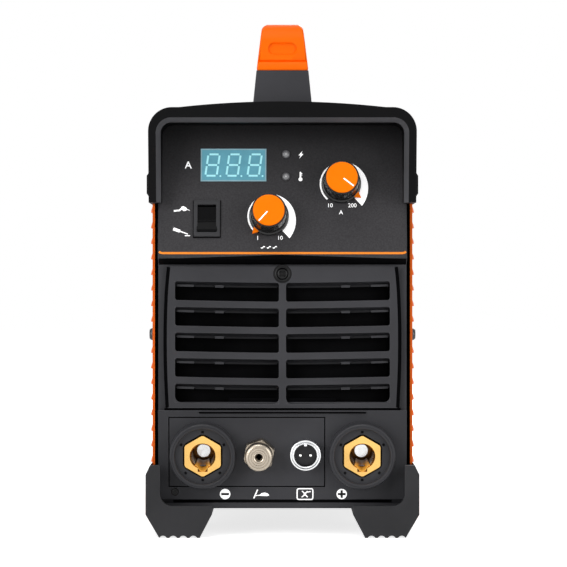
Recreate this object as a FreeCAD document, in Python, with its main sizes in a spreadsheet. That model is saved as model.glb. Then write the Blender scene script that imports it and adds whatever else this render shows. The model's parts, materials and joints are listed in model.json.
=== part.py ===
import FreeCAD, Part
import math
import os
import Sketcher

# Compact inverter welding machine for TIG and stick work, as an assembly of separate pieces.
# Millimetres, +Z up.  The origin is on the floor under the middle of the machine.  The front
# looks along -Y and the viewer's right is +X.

V = FreeCAD.Vector
doc = FreeCAD.newDocument("TigWelder")

# ---------------------------------------------------------------------------------------------
# Driving sizes
# ---------------------------------------------------------------------------------------------

SIZES = [
    # the whole case
    ("machine_length", 400), ("tray_height", 15.3), ("frame_width", 141.8), ("frame_top", 239.0),
    ("frame_wall", 3.0), ("frame_depth", 42.0), ("frame_bottom_radius", 7.5),
    ("frame_top_radius", 10.0),
    # orange cover
    ("cover_lap", 3.8), ("cover_width", "=frame_width + 2 * cover_lap"), ("cover_top", 242.0),
    ("cover_bottom", 18.0), ("cover_radius", 12.0), ("cover_sheet", 1.0), ("cover_flange", 2.6),
    ("cover_setback", 32.0), ("louvre_pitch", 9.1), ("louvre_height", 6.0), ("louvre_proud", 2.3),
    ("louvre_mouth", 1.5), ("louvre_length", 130.0), ("louvre_spacing", 168.0),
    ("louvre_first", 40.0), ("louvre_rows", 17),
    # hoods
    ("hood_cheek", 1.0), ("hood_width", "=cover_width + 2 * hood_cheek"),
    ("hood_corner_top", 243.4), ("hood_crown", 3.2), ("hood_radius", 13.5), ("hood_bottom", 190.0),
    ("hood_depth", 50.0), ("hood_opening_width", "=frame_width - 4.4"), ("hood_opening_top", 235.0),
    ("hood_opening_radius", 6.0), ("hood_lean", 9.0), ("hood_bevel", 2.7),
    ("hood_seat_width", 36.0), ("seat_top", 246.8), ("boss_bottom", 193.0), ("boss_height", 15.0),
    ("boss_proud", 1.6), ("boss_depth", 18.0), ("boss_setback", 18.0), ("boss_chamfer", 2.5),
    ("rear_face_setback", 26.0), ("rear_depth", 50.0),
    # control panel, tilted upwards
    ("ledge_setback", 17.0), ("ledge_height", 158.0), ("ledge_under", 155.0), ("panel_tilt", 10.0),
    ("overlay_sheet", 0.5), ("overlay_width", "=frame_width - 0.8"), ("overlay_bottom", 158.4),
    ("overlay_top", 237.0),
    # display, lamps and mode switch
    ("display_x", -28.0), ("display_height", 212.0), ("display_width", 37.6),
    ("display_tall", 19.0), ("window_thickness", 2.0), ("lamp_x", 2.0),
    ("lamp_height_upper", 218.1), ("lamp_height_lower", 205.2), ("lamp_radius", 2.35),
    ("lamp_proud", 1.0), ("mode_x", -43.1), ("mode_height", 181.1), ("mode_bezel_width", 15.0),
    ("mode_bezel_tall", 21.0), ("mode_rocker_width", 10.0), ("mode_rocker_tall", 15.3),
    ("mode_depth", 16.0), ("bezel_sheet", 1.5), ("bezel_rim", 1.0), ("rocker_wing", 20.0),
    ("rocker_tilt", 8.0), ("pivot_depth", 1.0), ("pivot_radius", 1.0), ("pivot_pin", 0.7),
    ("valley_rise", 1.2),
    # knobs
    ("current_x", 33.6), ("current_height", 200.9), ("postflow_x", -7.7),
    ("postflow_height", 182.3), ("knob_skirt_radius", 11.4), ("knob_top_radius", 9.9),
    ("knob_height", 17.0), ("knob_gap", 1.0), ("knob_skirt", 2.5), ("pointer_half", 2.2),
    ("cap_radius", 8.95), ("cap_thickness", 2.2), ("cap_sunk", 1.2), ("shaft_radius", 3.0),
    ("bushing_radius", 3.6), ("bushing_top", 4.0), ("pot_radius", 8.0), ("knob_hollow_radius", 6.5),
    ("knob_hollow", 5.0), ("shaft_top", 13.8), ("pointer_reach", 2.6), ("current_turn", 127.0),
    ("postflow_turn", 222.0),
    # control board
    ("board_setback", 12.0), ("board_sheet", 1.6), ("board_width", 124.0), ("board_tall", 62.0),
    ("board_rise", 12.0), ("board_boss_radius", 3.5), ("board_screw_radius", 1.5),
    ("board_screw_head", 1.6), ("board_screw_bite", 4.0),
    # grille door
    ("grille_setback", 24.0), ("door_thickness", 3.0), ("door_bottom", 73.2), ("door_top", 154.0),
    ("door_half_top", "=frame_width / 2 - 6.6"), ("door_half_middle", "=frame_width / 2 - 4.2"),
    ("door_half_bottom", "=frame_width / 2 - 5.4"), ("door_radius", 3.0),
    ("slot_half", "=frame_width / 2 - 9.6"), ("slot_bar", 4.1), ("slot_tall", 10.7),
    ("slot_pitch", 14.6), ("slot_first", 75.4), ("slot_bow", 1.0), ("slat_depth", 6.0),
    ("slat_drop", 3.0), ("slat_sheet", 1.2), ("slot_rows", 5), ("grille_screw_height", 149.7),
    ("grille_screw_head", 3.4), ("grille_counterbore", 4.85), ("screw_radius", 1.5),
    ("pan_head", 3.0), ("mouth_half", "=slot_half + 1.2"), ("hook_half", 48.0),
    ("hook_height", 70.0), ("hook_tall", 1.0), ("hook_depth", 1.2), ("corner_screw_x", -61.6),
    ("corner_screw_height", 24.9), ("corner_screw_radius", 2.3), ("cover_screw_height", 115.0),
    ("cover_screw_inset", 5.0), ("cover_screw_head", 3.5), ("cover_screw_proud", 2.0),
    # lower panel, tilted downwards
    ("lower_setback", 21.0), ("lower_top", 71.8), ("lower_edge", 20.8), ("lower_tilt", 5.5),
    ("lip_step", 2.5), ("plate_left", -64.8), ("plate_right", 24.1), ("plate_bottom", 28.1),
    ("plate_top", 67.8), ("plate_sheet", 1.5), ("plate_groove", 0.4),
    # welding sockets
    ("socket_x", 45.4), ("socket_height", 46.6), ("flange_radius", 18.8), ("flange_top", 9.5),
    ("cup_radius", 15.8), ("cup_floor", 6.0), ("barrel_radius", 13.0), ("barrel_depth", 22.0),
    ("contact_flats", 21.0), ("contact_top", 7.0), ("contact_radius", 9.5), ("contact_bore", 6.5),
    ("bore_depth", 20.0), ("contact_floor", 4.0), ("key_width", 4.0), ("key_depth", 2.4),
    ("stud_radius", 3.8), ("bolt_flats", 13.0), ("bolt_head", 5.5),
    # gas outlet and control socket
    ("gas_x", -13.4), ("gas_height", 46.9), ("gas_flats", 16.5), ("gas_hex", 7.1),
    ("gas_top", 15.1), ("gas_nose_radius", 7.2), ("gas_nose_edge", 1.0), ("gas_bore", 1.7),
    ("gas_stub_radius", 4.8), ("gas_stub", 12.0), ("control_x", 13.1), ("control_height", 47.3),
    ("control_radius", 7.7), ("control_ring", 8.85), ("control_flange", 2.0), ("control_top", 9.0),
    ("control_wall", 1.3), ("control_stub", 8.0), ("pin_spacing", 5.8), ("pin_tail", 2.0),
    ("pin_short", 1.0), ("pin_radius", 0.9), ("insert_recess", 3.5), ("insert_key", 1.6),
    ("insert_key_deep", 1.4),
    # base tray and feet
    ("tray_sheet", 1.2), ("tray_flange", 25.0), ("tray_end_lip", 9.0), ("foot_cheek", 2.9),
    ("foot_half", "=cover_width / 2 + foot_cheek"), ("foot_shoulder", 13.2),
    ("foot_side_top", 35.9), ("foot_tip", 41.1), ("foot_tip_inset", 2.5), ("foot_screw_grip", 3.0),
    ("foot_sole_outer", "=foot_half - 7.8"), ("foot_sole_inner", "=foot_half - 30.7"),
    ("foot_inner", "=foot_half - 37.6"), ("foot_front_rise", 18.0),
    ("foot_front_inner", "=foot_half - 8.2"), ("foot_front_radius", 7.0), ("foot_setback", 11.0),
    ("foot_front_wall", 5.0), ("foot_length", 58.0), ("scallop_pitch", 5.7), ("scallop_depth", 1.3),
    ("foot_screw_x", "=foot_half - 18.9"), ("foot_screw_inset", 46.0), ("foot_screw_radius", 2.0),
    ("foot_screw_head", 4.0), ("foot_counterbore", 7.0),
    # handle
    ("handle_setback", 10.0), ("handle_leg", 32.0), ("handle_base_width", 33.1),
    ("handle_split", 265.0), ("handle_split_width", 29.5), ("handle_top", 292.4),
    ("handle_top_width", 23.0), ("handle_top_radius", 4.5), ("handle_under", 272.0),
    ("handle_rib", 4.0), ("handle_rake", 9.0), ("handle_nose", 12.0), ("handle_screw_radius", 2.5),
    ("handle_radius", 9.0), ("handle_screw_bite", 12.0), ("handle_hole_spare", 1.5),
    ("handle_screw_head", 4.2), ("handle_screw_x", 9.0), ("handle_screw_setback", 38.0),
    ("hood_flat", 4.0), ("seat_margin", 1.0),
    # fan and rear wall
    ("fan_size", 120.0), ("fan_depth", 25.0), ("fan_height", 88.0), ("fan_bore", 57.5),
    ("fan_hole_spacing", 105.0), ("fan_screw_radius", 2.0), ("fan_wall_bore", 55.0),
    ("hub_radius", 20.0), ("hub_thickness", 4.0), ("rotor_gap", 1.5), ("blade_radius", 56.0),
    ("blade_root", 2.0), ("blade_pitch", 38.0), ("blade_sheet", 2.0), ("blade_count", 7),
    ("blade_camber", 2.0), ("strut_width", 4.0), ("strut_count", 4), ("axle_radius", 1.5),
    ("guard_size", 116.0), ("guard_sheet", 3.0), ("guard_slot", 6.5), ("guard_pitch", 9.6),
    ("guard_rows", 11), ("guard_bar", 5.0),
    # mains switch, gland and gas inlet on the rear wall
    ("mains_x", -38.0), ("rear_row_height", 196.0), ("mains_bezel_width", 25.0),
    ("mains_bezel_tall", 32.0), ("mains_rocker_width", 19.0), ("mains_rocker_tall", 25.0),
    ("mains_depth", 24.0), ("gland_x", 32.0), ("gland_flats", 24.0), ("gland_stub_radius", 9.8),
    ("gland_bore", 4.5), ("inlet_height", 170.0), ("barb_radius", 3.6), ("barb_rise", 0.6),
    ("barb_width", 2.0), ("barb_count", 2), ("inlet_length", 23.0), ("inlet_flats", 14.0),
    ("inlet_hex", 5.0), ("inlet_stub_radius", 4.6), ("gland_hex", 6.0), ("gland_dome", 16.0),
    ("gland_dome_radius", 10.6), ("rear_stub", 12.0),
    # inside
    ("power_board_height", 62.0), ("power_board_width", 124.0), ("power_board_length", 190.0),
    ("power_board_start", -85.0), ("post_radius", 3.0), ("post_inset", 6.0), ("sink_width", 40.0),
    ("sink_tall", 60.0), ("sink_length", 150.0), ("sink_base", 6.0), ("sink_fin", 2.4),
    ("sink_fins", 6), ("sink_inner_x", 18.0), ("capacitor_radius", 14.0), ("capacitor_tall", 48.0),
    ("capacitor_pitch", 33.0), ("capacitor_count", 4), ("core_wide", 56.0), ("core_deep", 50.0),
    ("core_tall", 38.0), ("coil_bulge", 9.0), ("choke_radius", 20.0), ("choke_hole", 8.0),
    ("choke_tall", 30.0), ("valve_wide", 26.0), ("valve_tall", 24.0), ("valve_long", 40.0),
    ("valve_coil", 20.0), ("coil_lift", 5.0), ("choke_gap", 3.0), ("hose_radius", 4.0),
    ("hose_bend", 14.0), ("hose_drop", 17.0),
    # working clearances
    ("fit_gap", 0.2), ("run_gap", 0.05), ("free_gap", 0.3),
]

sheet = doc.addObject("Spreadsheet::Sheet", "Sizes")
for row, (alias, number) in enumerate(SIZES, start=1):
    sheet.set(f"A{row}", alias)
    sheet.set(f"B{row}", str(number))
    sheet.setAlias(f"B{row}", alias)
doc.recompute()


class Size:
    """A size with its value now and the sheet expression that the document keeps for it."""

    def __init__(self, value, text):
        self.value = value
        self.text = text

    def __add__(self, other):
        other = sized(other)
        return Size(self.value + other.value, f"({self.text} + {other.text})")

    def __sub__(self, other):
        other = sized(other)
        return Size(self.value - other.value, f"({self.text} - {other.text})")

    def __mul__(self, other):
        other = sized(other)
        return Size(self.value * other.value, f"({self.text} * {other.text})")

    def __truediv__(self, other):
        other = sized(other)
        return Size(self.value / other.value, f"({self.text} / {other.text})")

    def __neg__(self):
        return Size(-self.value, f"(0 - {self.text})")

    def __radd__(self, other):
        return sized(other) + self

    def __rsub__(self, other):
        return sized(other) - self

    def __rmul__(self, other):
        return sized(other) * self


def sized(number):
    return number if isinstance(number, Size) else Size(number, f"{number:.6g}")


def tangent(angle):
    return Size(math.tan(math.radians(angle.value)), f"tan({angle.text})")


def cosine(angle):
    return Size(math.cos(math.radians(angle.value)), f"cos({angle.text})")


def sine(angle):
    return Size(math.sin(math.radians(angle.value)), f"sin({angle.text})")


class Sheet:
    """The sheet's cells by their aliases."""

    def __getattr__(self, alias):
        return Size(float(sheet.get(alias)), f"Sizes.{alias}")


s = Sheet()


# ---------------------------------------------------------------------------------------------
# Modelling helpers
# ---------------------------------------------------------------------------------------------

parts = {}


def bind(feature, path, size, unit=""):
    """Ties one property of a feature to the sheet."""
    size = sized(size)
    feature.setExpression(path, f"({size.text}){unit}")


def keep(label, shape_object):
    """Names a finished sub-part after its node."""
    shape_object.Label = label
    parts[label] = shape_object
    return shape_object


def new_body(label, node=True):
    """A body that is a node of its own, or with node=False one piece of a group or boolean."""
    body = doc.addObject("PartDesign::Body", label)
    return keep(label, body) if node else body


def origin_feature(body, role):
    return next(feature for feature in body.Origin.OriginFeatures if feature.Role == role)


def sketch_on(body, role, name, lift=0, up=0, tilt=0):
    """A sketch on one of the body's origin planes.  lift moves it off the plane, up moves it
    along its own vertical, and tilt turns it about its horizontal, in degrees."""
    sketch = body.newObject("Sketcher::SketchObject", name)
    sketch.AttachmentSupport = [(origin_feature(body, role), "")]
    sketch.MapMode = "FlatFace"
    sketch.AttachmentOffset = FreeCAD.Placement(V(0, 0, 0), FreeCAD.Rotation(V(1, 0, 0), 1))
    bind(sketch, "AttachmentOffset.Base.z", lift)
    bind(sketch, "AttachmentOffset.Base.y", up)
    bind(sketch, "AttachmentOffset.Rotation.Angle", tilt, " * 1deg")
    return sketch


def hold(sketch, geometry, position, x, y):
    """Fixes a point of the sketch at x, y."""
    for kind, size in (("DistanceX", sized(x)), ("DistanceY", sized(y))):
        datum = sketch.addConstraint(Sketcher.Constraint(kind, -1, 1, geometry, position, size.value))
        sketch.setExpression(f"Constraints[{datum}]", size.text)


def draw(sketch, corners):
    """A closed outline.  A corner is (x, y), (x, y, radius), or ("by", x, y) for a point that the
    arc between its two sharp neighbours passes through."""
    stops = [corner for corner in corners if corner[0] != "by"]
    bends = {}
    for place, corner in enumerate(corners):
        if corner[0] == "by":
            bends[stops.index(corners[place - 1])] = corner[1:]
    points = [V(sized(stop[0]).value, sized(stop[1]).value, 0) for stop in stops]
    count = len(points)
    arrive, leave, rounds = [], [], []
    for place, stop in enumerate(stops):
        point = points[place]
        arc = None
        begin = finish = point
        if len(stop) == 3:
            back = (points[place - 1] - point).normalize()
            onward = (points[(place + 1) % count] - point).normalize()
            half = back.getAngle(onward) / 2
            radius = sized(stop[2]).value
            begin = point + back * (radius / math.tan(half))
            finish = point + onward * (radius / math.tan(half))
            middle = point + (back + onward).normalize() * (radius / math.sin(half) - radius)
            arc = Part.Arc(begin, middle, finish)
        arrive.append(begin)
        leave.append(finish)
        rounds.append(arc)
    runs = []
    for place in range(count):
        ahead = (place + 1) % count
        if place in bends:
            middle = V(*(sized(part).value for part in bends[place]), 0)
            run = sketch.addGeometry(Part.Arc(leave[place], middle, arrive[ahead]), False)
        else:
            run = sketch.addGeometry(Part.LineSegment(leave[place], arrive[ahead]), False)
        runs.append(run)

    def end_at(geometry, spot):
        return 1 if sketch.getPoint(geometry, 1).distanceToPoint(spot) < 1e-6 else 2

    for place in range(count):
        before, after = runs[place - 1], runs[place]
        before_end = end_at(before, arrive[place])
        after_end = end_at(after, leave[place])
        if rounds[place] is None:
            sketch.addConstraint(Sketcher.Constraint("Coincident", before, before_end, after, after_end))
            hold(sketch, after, after_end, stops[place][0], stops[place][1])
        else:
            arc = sketch.addGeometry(rounds[place], False)
            first, last = end_at(arc, arrive[place]), end_at(arc, leave[place])
            sketch.addConstraint(Sketcher.Constraint("Tangent", before, before_end, arc, first))
            sketch.addConstraint(Sketcher.Constraint("Tangent", after, after_end, arc, last))
            radius = sized(stops[place][2])
            datum = sketch.addConstraint(Sketcher.Constraint("Radius", arc, radius.value))
            sketch.setExpression(f"Constraints[{datum}]", radius.text)
            corner = sketch.addGeometry(Part.Point(points[place]), True)
            for run in (before, after):
                sketch.addConstraint(Sketcher.Constraint("PointOnObject", corner, 1, run))
            hold(sketch, corner, 1, stops[place][0], stops[place][1])
    for place, bend in bends.items():
        spot = sketch.addGeometry(Part.Point(V(*(sized(part).value for part in bend), 0)), True)
        sketch.addConstraint(Sketcher.Constraint("PointOnObject", spot, 1, runs[place]))
        hold(sketch, spot, 1, bend[0], bend[1])


def ring(sketch, x, y, radius):
    """A circle held at x, y."""
    x, y, radius = sized(x), sized(y), sized(radius)
    circle = sketch.addGeometry(Part.Circle(V(x.value, y.value, 0), V(0, 0, 1), radius.value), False)
    hold(sketch, circle, 3, x, y)
    datum = sketch.addConstraint(Sketcher.Constraint("Radius", circle, radius.value))
    sketch.setExpression(f"Constraints[{datum}]", radius.text)


def rectangle(sketch, left, bottom, right, top, radius=None):
    corners = [(left, bottom), (right, bottom), (right, top), (left, top)]
    if radius is not None:
        corners = [corner + (radius,) for corner in corners]
    draw(sketch, corners)


def hexagon(sketch, flats, point_up=True, x=0, y=0):
    """A regular hexagon about x, y, given across its flats."""
    reach = sized(flats) / math.sqrt(3)
    start = 90 if point_up else 0
    draw(sketch, [(sized(x) + reach * math.cos(math.radians(start + 60 * turn)),
                   sized(y) + reach * math.sin(math.radians(start + 60 * turn))) for turn in range(6)])


def pad(body, sketch, name, length, both=False, back=False):
    """Adds material along the sketch's normal, against it, or to both sides."""
    feature = body.newObject("PartDesign::Pad", name)
    feature.Profile = sketch
    feature.SideType = "Symmetric" if both else "One side"
    feature.Reversed = back
    bind(feature, "Length", length)
    return feature


def pocket(body, sketch, name, depth=None, both=False, back=False):
    """Cuts against the sketch's normal (along it with back), or through all when no depth is given."""
    feature = body.newObject("PartDesign::Pocket", name)
    feature.Profile = sketch
    feature.SideType = "Symmetric" if both else "One side"
    feature.Reversed = back
    if depth is None:
        feature.Type = "ThroughAll"
    else:
        bind(feature, "Length", depth)
    return feature


def revolve(body, sketch, name):
    feature = body.newObject("PartDesign::Revolution", name)
    feature.Profile = sketch
    feature.ReferenceAxis = (sketch, ["V_Axis"])
    feature.Angle = 360
    return feature


def turned(label, outline, node=True):
    """A body turned about its own Z axis from an outline of radius and height."""
    body = new_body(label, node)
    sketch = sketch_on(body, "XZ_Plane", label + "_profile")
    draw(sketch, outline)
    revolve(body, sketch, label + "_turning")
    return body


def put(piece, x, y, z, turn=0, axis=(1, 0, 0)):
    """Places a finished piece: its origin at x, y, z after a turn about axis, in degrees."""
    piece.Placement = FreeCAD.Placement(V(0, 0, 0), FreeCAD.Rotation(V(*axis), 1))
    for letter, size in zip("xyz", (x, y, z)):
        bind(piece, f"Placement.Base.{letter}", size)
    bind(piece, "Placement.Rotation.Angle", turn, " * 1deg")


def block(name, x, y, z, wide, deep, tall):
    """A plain block from its lowest corner and its sizes."""
    piece = doc.addObject("Part::Box", name)
    for path, size in (("Length", wide), ("Width", deep), ("Height", tall),
                       ("Placement.Base.x", x), ("Placement.Base.y", y), ("Placement.Base.z", z)):
        bind(piece, path, size)
    return piece


def rod(name, x, y, z, radius, height, turn=0, axis=(1, 0, 0)):
    """A round rod that stands on x, y, z after a turn about axis."""
    piece = doc.addObject("Part::Cylinder", name)
    bind(piece, "Radius", radius)
    bind(piece, "Height", height)
    put(piece, x, y, z, turn, axis)
    return piece


def peg(name, x, y, z, radius, height, sides, turn=0, axis=(1, 0, 0)):
    """A small or hidden rod with flat sides, for what repeats; radius is to its corners."""
    piece = doc.addObject("Part::Prism", name)
    piece.Polygon = sides
    bind(piece, "Circumradius", radius)
    bind(piece, "Height", height)
    put(piece, x, y, z, turn, axis)
    return piece


def cut(label, base, tools):
    piece = doc.addObject("Part::Cut", label)
    piece.Base = base
    piece.Tool = tools[0] if len(tools) == 1 else fuse(label + "_tools", tools)
    return piece


def fuse(label, pieces):
    piece = doc.addObject("Part::MultiFuse", label)
    piece.Shapes = pieces
    return piece


def common(label, pieces):
    piece = doc.addObject("Part::MultiCommon", label)
    piece.Shapes = pieces
    return piece


def group(label, pieces):
    """Several like solids in one node."""
    piece = doc.addObject("Part::Compound", label)
    piece.Links = pieces
    return keep(label, piece)


# ---------------------------------------------------------------------------------------------
# Planes that more than one piece meets
# ---------------------------------------------------------------------------------------------

front_y = -s.machine_length / 2
rear_y = s.machine_length / 2
frame_half = s.frame_width / 2
frame_back_y = front_y + s.frame_depth
ledge_y = front_y + s.ledge_setback
grille_y = front_y + s.grille_setback
lower_y = front_y + s.lower_setback
rear_face_y = rear_y - s.rear_face_setback
rear_back_y = rear_y - s.rear_depth
cover_front_y = front_y + s.cover_setback
panel_turn = 90 - s.panel_tilt
lower_turn = 90 + s.lower_tilt


def panel_y(height):
    """Depth of the control panel's outer face at a height."""
    return ledge_y + (height - s.ledge_height) * tangent(s.panel_tilt)


def lower_face_y(height):
    """Depth of the lower panel's outer face at a height."""
    return lower_y + (s.lower_top - height) * tangent(s.lower_tilt)


def up_panel(height):
    """Distance up the tilted control panel from its ledge."""
    return (height - s.ledge_height) / cosine(s.panel_tilt)


def up_lower(height):
    """Distance up the lower panel from its top edge (negative below it)."""
    return (height - s.lower_top) / cosine(s.lower_tilt)


def on_panel(piece, x, height, lift=0):
    """Stands a piece, made with +Z outwards, on the control panel, lifted off it by lift."""
    put(piece, x, panel_y(height) - lift * cosine(s.panel_tilt), height + lift * sine(s.panel_tilt),
        panel_turn)


def on_lower(piece, x, height):
    """Stands a piece, made with +Z outwards, on the lower panel."""
    put(piece, x, lower_face_y(height), height, lower_turn)


def on_rear(piece, x, height, sunk=0):
    """Stands a piece, made with +Z outwards, on the rear wall's outer face or sunk below it."""
    put(piece, x, rear_face_y - sunk, height, -90)


def panel_sketch(body, name, sunk=0):
    """A sketch in the control panel's face, or parallel to it and sunk behind it."""
    return sketch_on(body, "XZ_Plane", name, -ledge_y - sunk * cosine(s.panel_tilt),
                     s.ledge_height - sunk * sine(s.panel_tilt), -s.panel_tilt)


def lower_sketch(body, name):
    """A sketch in the lower panel's face."""
    return sketch_on(body, "XZ_Plane", name, -lower_y, s.lower_top, s.lower_tilt)


# ---------------------------------------------------------------------------------------------
# Front frame: one black moulding that carries the controls, the grille door and the sockets
# ---------------------------------------------------------------------------------------------

def trim_corners(body, name, half, bottom, bottom_radius, top, top_radius):
    """Rounds the four corners of a case section by cutting what lies outside of each radius."""
    sketch = sketch_on(body, "XZ_Plane", name + "_sketch")
    diagonal = 1 - math.sqrt(0.5)
    for side in (-1, 1):
        for level, radius, rise in ((bottom, bottom_radius, 1), (top, top_radius, -1)):
            beyond = side * (half + 1)
            draw(sketch, [(side * (half - radius), level),
                          ("by", side * (half - radius * diagonal), level + rise * radius * diagonal),
                          (side * half, level + rise * radius),
                          (beyond, level + rise * radius),
                          (beyond, level - rise),
                          (side * (half - radius), level - rise)])
    pocket(body, sketch, name, both=True)


front_frame = new_body("front_frame")
wall = s.frame_wall
lip_y = lower_face_y(s.lower_edge) + s.lip_step
lip_top = s.lower_edge - s.lip_step
profile = sketch_on(front_frame, "YZ_Plane", "front_profile")
draw(profile, [(frame_back_y, s.tray_height), (lip_y, s.tray_height), (lip_y, lip_top),
               (lower_face_y(s.lower_edge), s.lower_edge), (lower_y, s.lower_top),
               (grille_y, s.lower_top), (grille_y, s.ledge_under), (ledge_y, s.ledge_height),
               (panel_y(s.frame_top), s.frame_top), (frame_back_y, s.frame_top)])
pad(front_frame, profile, "front_moulding", s.frame_width, both=True)
panel_wall = wall / cosine(s.panel_tilt)
inner = sketch_on(front_frame, "YZ_Plane", "front_inner")
draw(inner, [(frame_back_y + 1, s.tray_height + wall), (lip_y + wall, s.tray_height + wall),
             (lip_y + wall, s.lower_edge + wall), (lower_y + wall, s.lower_top - wall),
             (grille_y + wall, s.lower_top - wall), (grille_y + wall, s.ledge_under + wall),
             (panel_y(s.ledge_height + wall) + panel_wall, s.ledge_height + wall),
             (panel_y(s.frame_top - wall) + panel_wall, s.frame_top - wall),
             (frame_back_y + 1, s.frame_top - wall)])
pocket(front_frame, inner, "front_hollow", s.frame_width - 2 * wall, both=True)
trim_corners(front_frame, "front_corners", frame_half, s.tray_height, s.frame_bottom_radius,
             s.frame_top, s.frame_top_radius)

# bosses behind the control panel for the board
boss_x = s.board_width / 2 - 2 * s.board_boss_radius
boss_low = s.board_rise + 2 * s.board_boss_radius
boss_high = s.board_rise + s.board_tall - 2 * s.board_boss_radius
board_spots = [(side * boss_x, up) for side in (-1, 1) for up in (boss_low, boss_high)]
bosses = panel_sketch(front_frame, "board_bosses")
for x, up in board_spots:
    rectangle(bosses, x - s.board_boss_radius, up - s.board_boss_radius,
              x + s.board_boss_radius, up + s.board_boss_radius)
pad(front_frame, bosses, "board_boss", s.board_setback, back=True)
boss_holes = panel_sketch(front_frame, "board_boss_holes", s.board_setback)
for x, up in board_spots:
    ring(boss_holes, x, up, s.board_screw_radius + s.fit_gap)
pocket(front_frame, boss_holes, "board_boss_hole", s.board_setback - 2 * wall, back=True)


def panel_holes(sketch, spare):
    """Outlines of what passes through the control panel, each wider than its piece by spare."""
    wide = s.display_width / 2 + spare
    tall = s.display_tall / 2 + spare
    centre = up_panel(s.display_height)
    rectangle(sketch, s.display_x - wide, centre - tall, s.display_x + wide, centre + tall)
    wide = s.mode_bezel_width / 2 - s.bezel_rim + spare
    tall = s.mode_bezel_tall / 2 - s.bezel_rim + spare
    centre = up_panel(s.mode_height)
    rectangle(sketch, s.mode_x - wide, centre - tall, s.mode_x + wide, centre + tall)
    for height in (s.lamp_height_upper, s.lamp_height_lower):
        ring(sketch, s.lamp_x, up_panel(height), s.lamp_radius + spare)
    for x, height in ((s.current_x, s.current_height), (s.postflow_x, s.postflow_height)):
        ring(sketch, x, up_panel(height), s.bushing_radius + spare)


def socket_holes(sketch, spare, with_positive):
    """Outlines of what passes through the lower panel, each wider than its piece by spare."""
    ring(sketch, -s.socket_x, up_lower(s.socket_height), s.barrel_radius + spare)
    ring(sketch, s.gas_x, up_lower(s.gas_height), s.gas_stub_radius + spare)
    ring(sketch, s.control_x, up_lower(s.control_height), s.control_radius + spare)
    if with_positive:
        ring(sketch, s.socket_x, up_lower(s.socket_height), s.barrel_radius + spare)


control_cuts = panel_sketch(front_frame, "control_cuts")
panel_holes(control_cuts, s.fit_gap)
pocket(front_frame, control_cuts, "control_cut", wall + 1)

plate_seat = lower_sketch(front_frame, "plate_seat")
rectangle(plate_seat, s.plate_left - s.plate_groove, up_lower(s.plate_bottom - s.plate_groove),
          s.plate_right + s.plate_groove, up_lower(s.plate_top + s.plate_groove))
pocket(front_frame, plate_seat, "plate_recess", s.plate_sheet)
socket_cuts = lower_sketch(front_frame, "socket_cuts")
socket_holes(socket_cuts, s.fit_gap, with_positive=True)
pocket(front_frame, socket_cuts, "socket_cut", 2 * wall)
hook_line = lower_sketch(front_frame, "hook_line")
rectangle(hook_line, -s.hook_half, up_lower(s.hook_height), s.hook_half,
          up_lower(s.hook_height + s.hook_tall))
pocket(front_frame, hook_line, "hook_groove", s.hook_depth)
corner_screw = lower_sketch(front_frame, "corner_screw")
ring(corner_screw, s.corner_screw_x, up_lower(s.corner_screw_height), s.corner_screw_radius)
pocket(front_frame, corner_screw, "corner_screw_recess", s.hook_depth)

mouth_bottom = s.slot_first + s.slot_bow
mouth_top = (s.slot_first + s.slot_tall + s.slot_bow + s.slot_pitch * (s.slot_rows - 1)
             + s.slat_sheet + s.free_gap * 2)
air_mouth = sketch_on(front_frame, "XZ_Plane", "air_mouth", -grille_y)
rectangle(air_mouth, -s.mouth_half, mouth_bottom, s.mouth_half, mouth_top, s.door_radius)
ring(air_mouth, 0, s.grille_screw_height, s.screw_radius + s.fit_gap)
pocket(front_frame, air_mouth, "air_opening", wall + 1)


def side_screw_holes(body, name, y):
    """Holes for the cover screws through both side walls of a case piece."""
    sketch = sketch_on(body, "YZ_Plane", name + "_sketch")
    ring(sketch, y, s.cover_screw_height, s.screw_radius + s.fit_gap)
    pocket(body, sketch, name, both=True)


def roof_screw_holes(body, name, y, level, depth):
    """Holes for the handle screws down through a roof."""
    sketch = sketch_on(body, "XY_Plane", name + "_sketch", level)
    for side in (-1, 1):
        ring(sketch, side * s.handle_screw_x, y, s.handle_screw_radius + s.fit_gap)
    pocket(body, sketch, name, depth)


front_screw_y = frame_back_y - s.cover_screw_inset
rear_screw_y = rear_back_y + s.cover_screw_inset
handle_screw_y = front_y + s.handle_screw_setback
side_screw_holes(front_frame, "front_side_holes", front_screw_y)
roof_screw_holes(front_frame, "front_roof_holes", handle_screw_y, s.frame_top, wall + 1)


# ---------------------------------------------------------------------------------------------
# Rear frame: the same case section with a flat wall for the fan, mains switch, gland and inlet
# ---------------------------------------------------------------------------------------------

rear_frame = new_body("rear_frame")
rear_outer = sketch_on(rear_frame, "XZ_Plane", "rear_outer", -rear_face_y)
rectangle(rear_outer, -frame_half, s.tray_height, frame_half, s.frame_top)
pad(rear_frame, rear_outer, "rear_moulding", rear_face_y - rear_back_y)
rear_inner = sketch_on(rear_frame, "XZ_Plane", "rear_inner", wall - rear_face_y)
rectangle(rear_inner, wall - frame_half, s.tray_height + wall, frame_half - wall, s.frame_top - wall)
pocket(rear_frame, rear_inner, "rear_hollow", back=True)
trim_corners(rear_frame, "rear_corners", frame_half, s.tray_height, s.frame_bottom_radius,
             s.frame_top, s.frame_top_radius)
rear_cuts = sketch_on(rear_frame, "XZ_Plane", "rear_cuts", -rear_face_y)
ring(rear_cuts, 0, s.fan_height, s.fan_wall_bore)
fan_reach = s.fan_hole_spacing / 2
fan_corners = [(side * fan_reach, rise * fan_reach) for side in (-1, 1) for rise in (-1, 1)]
for x, rise in fan_corners:
    ring(rear_cuts, x, s.fan_height + rise, s.fan_screw_radius + s.fit_gap)
ring(rear_cuts, s.gland_x, s.rear_row_height, s.gland_stub_radius + s.fit_gap)
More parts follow.
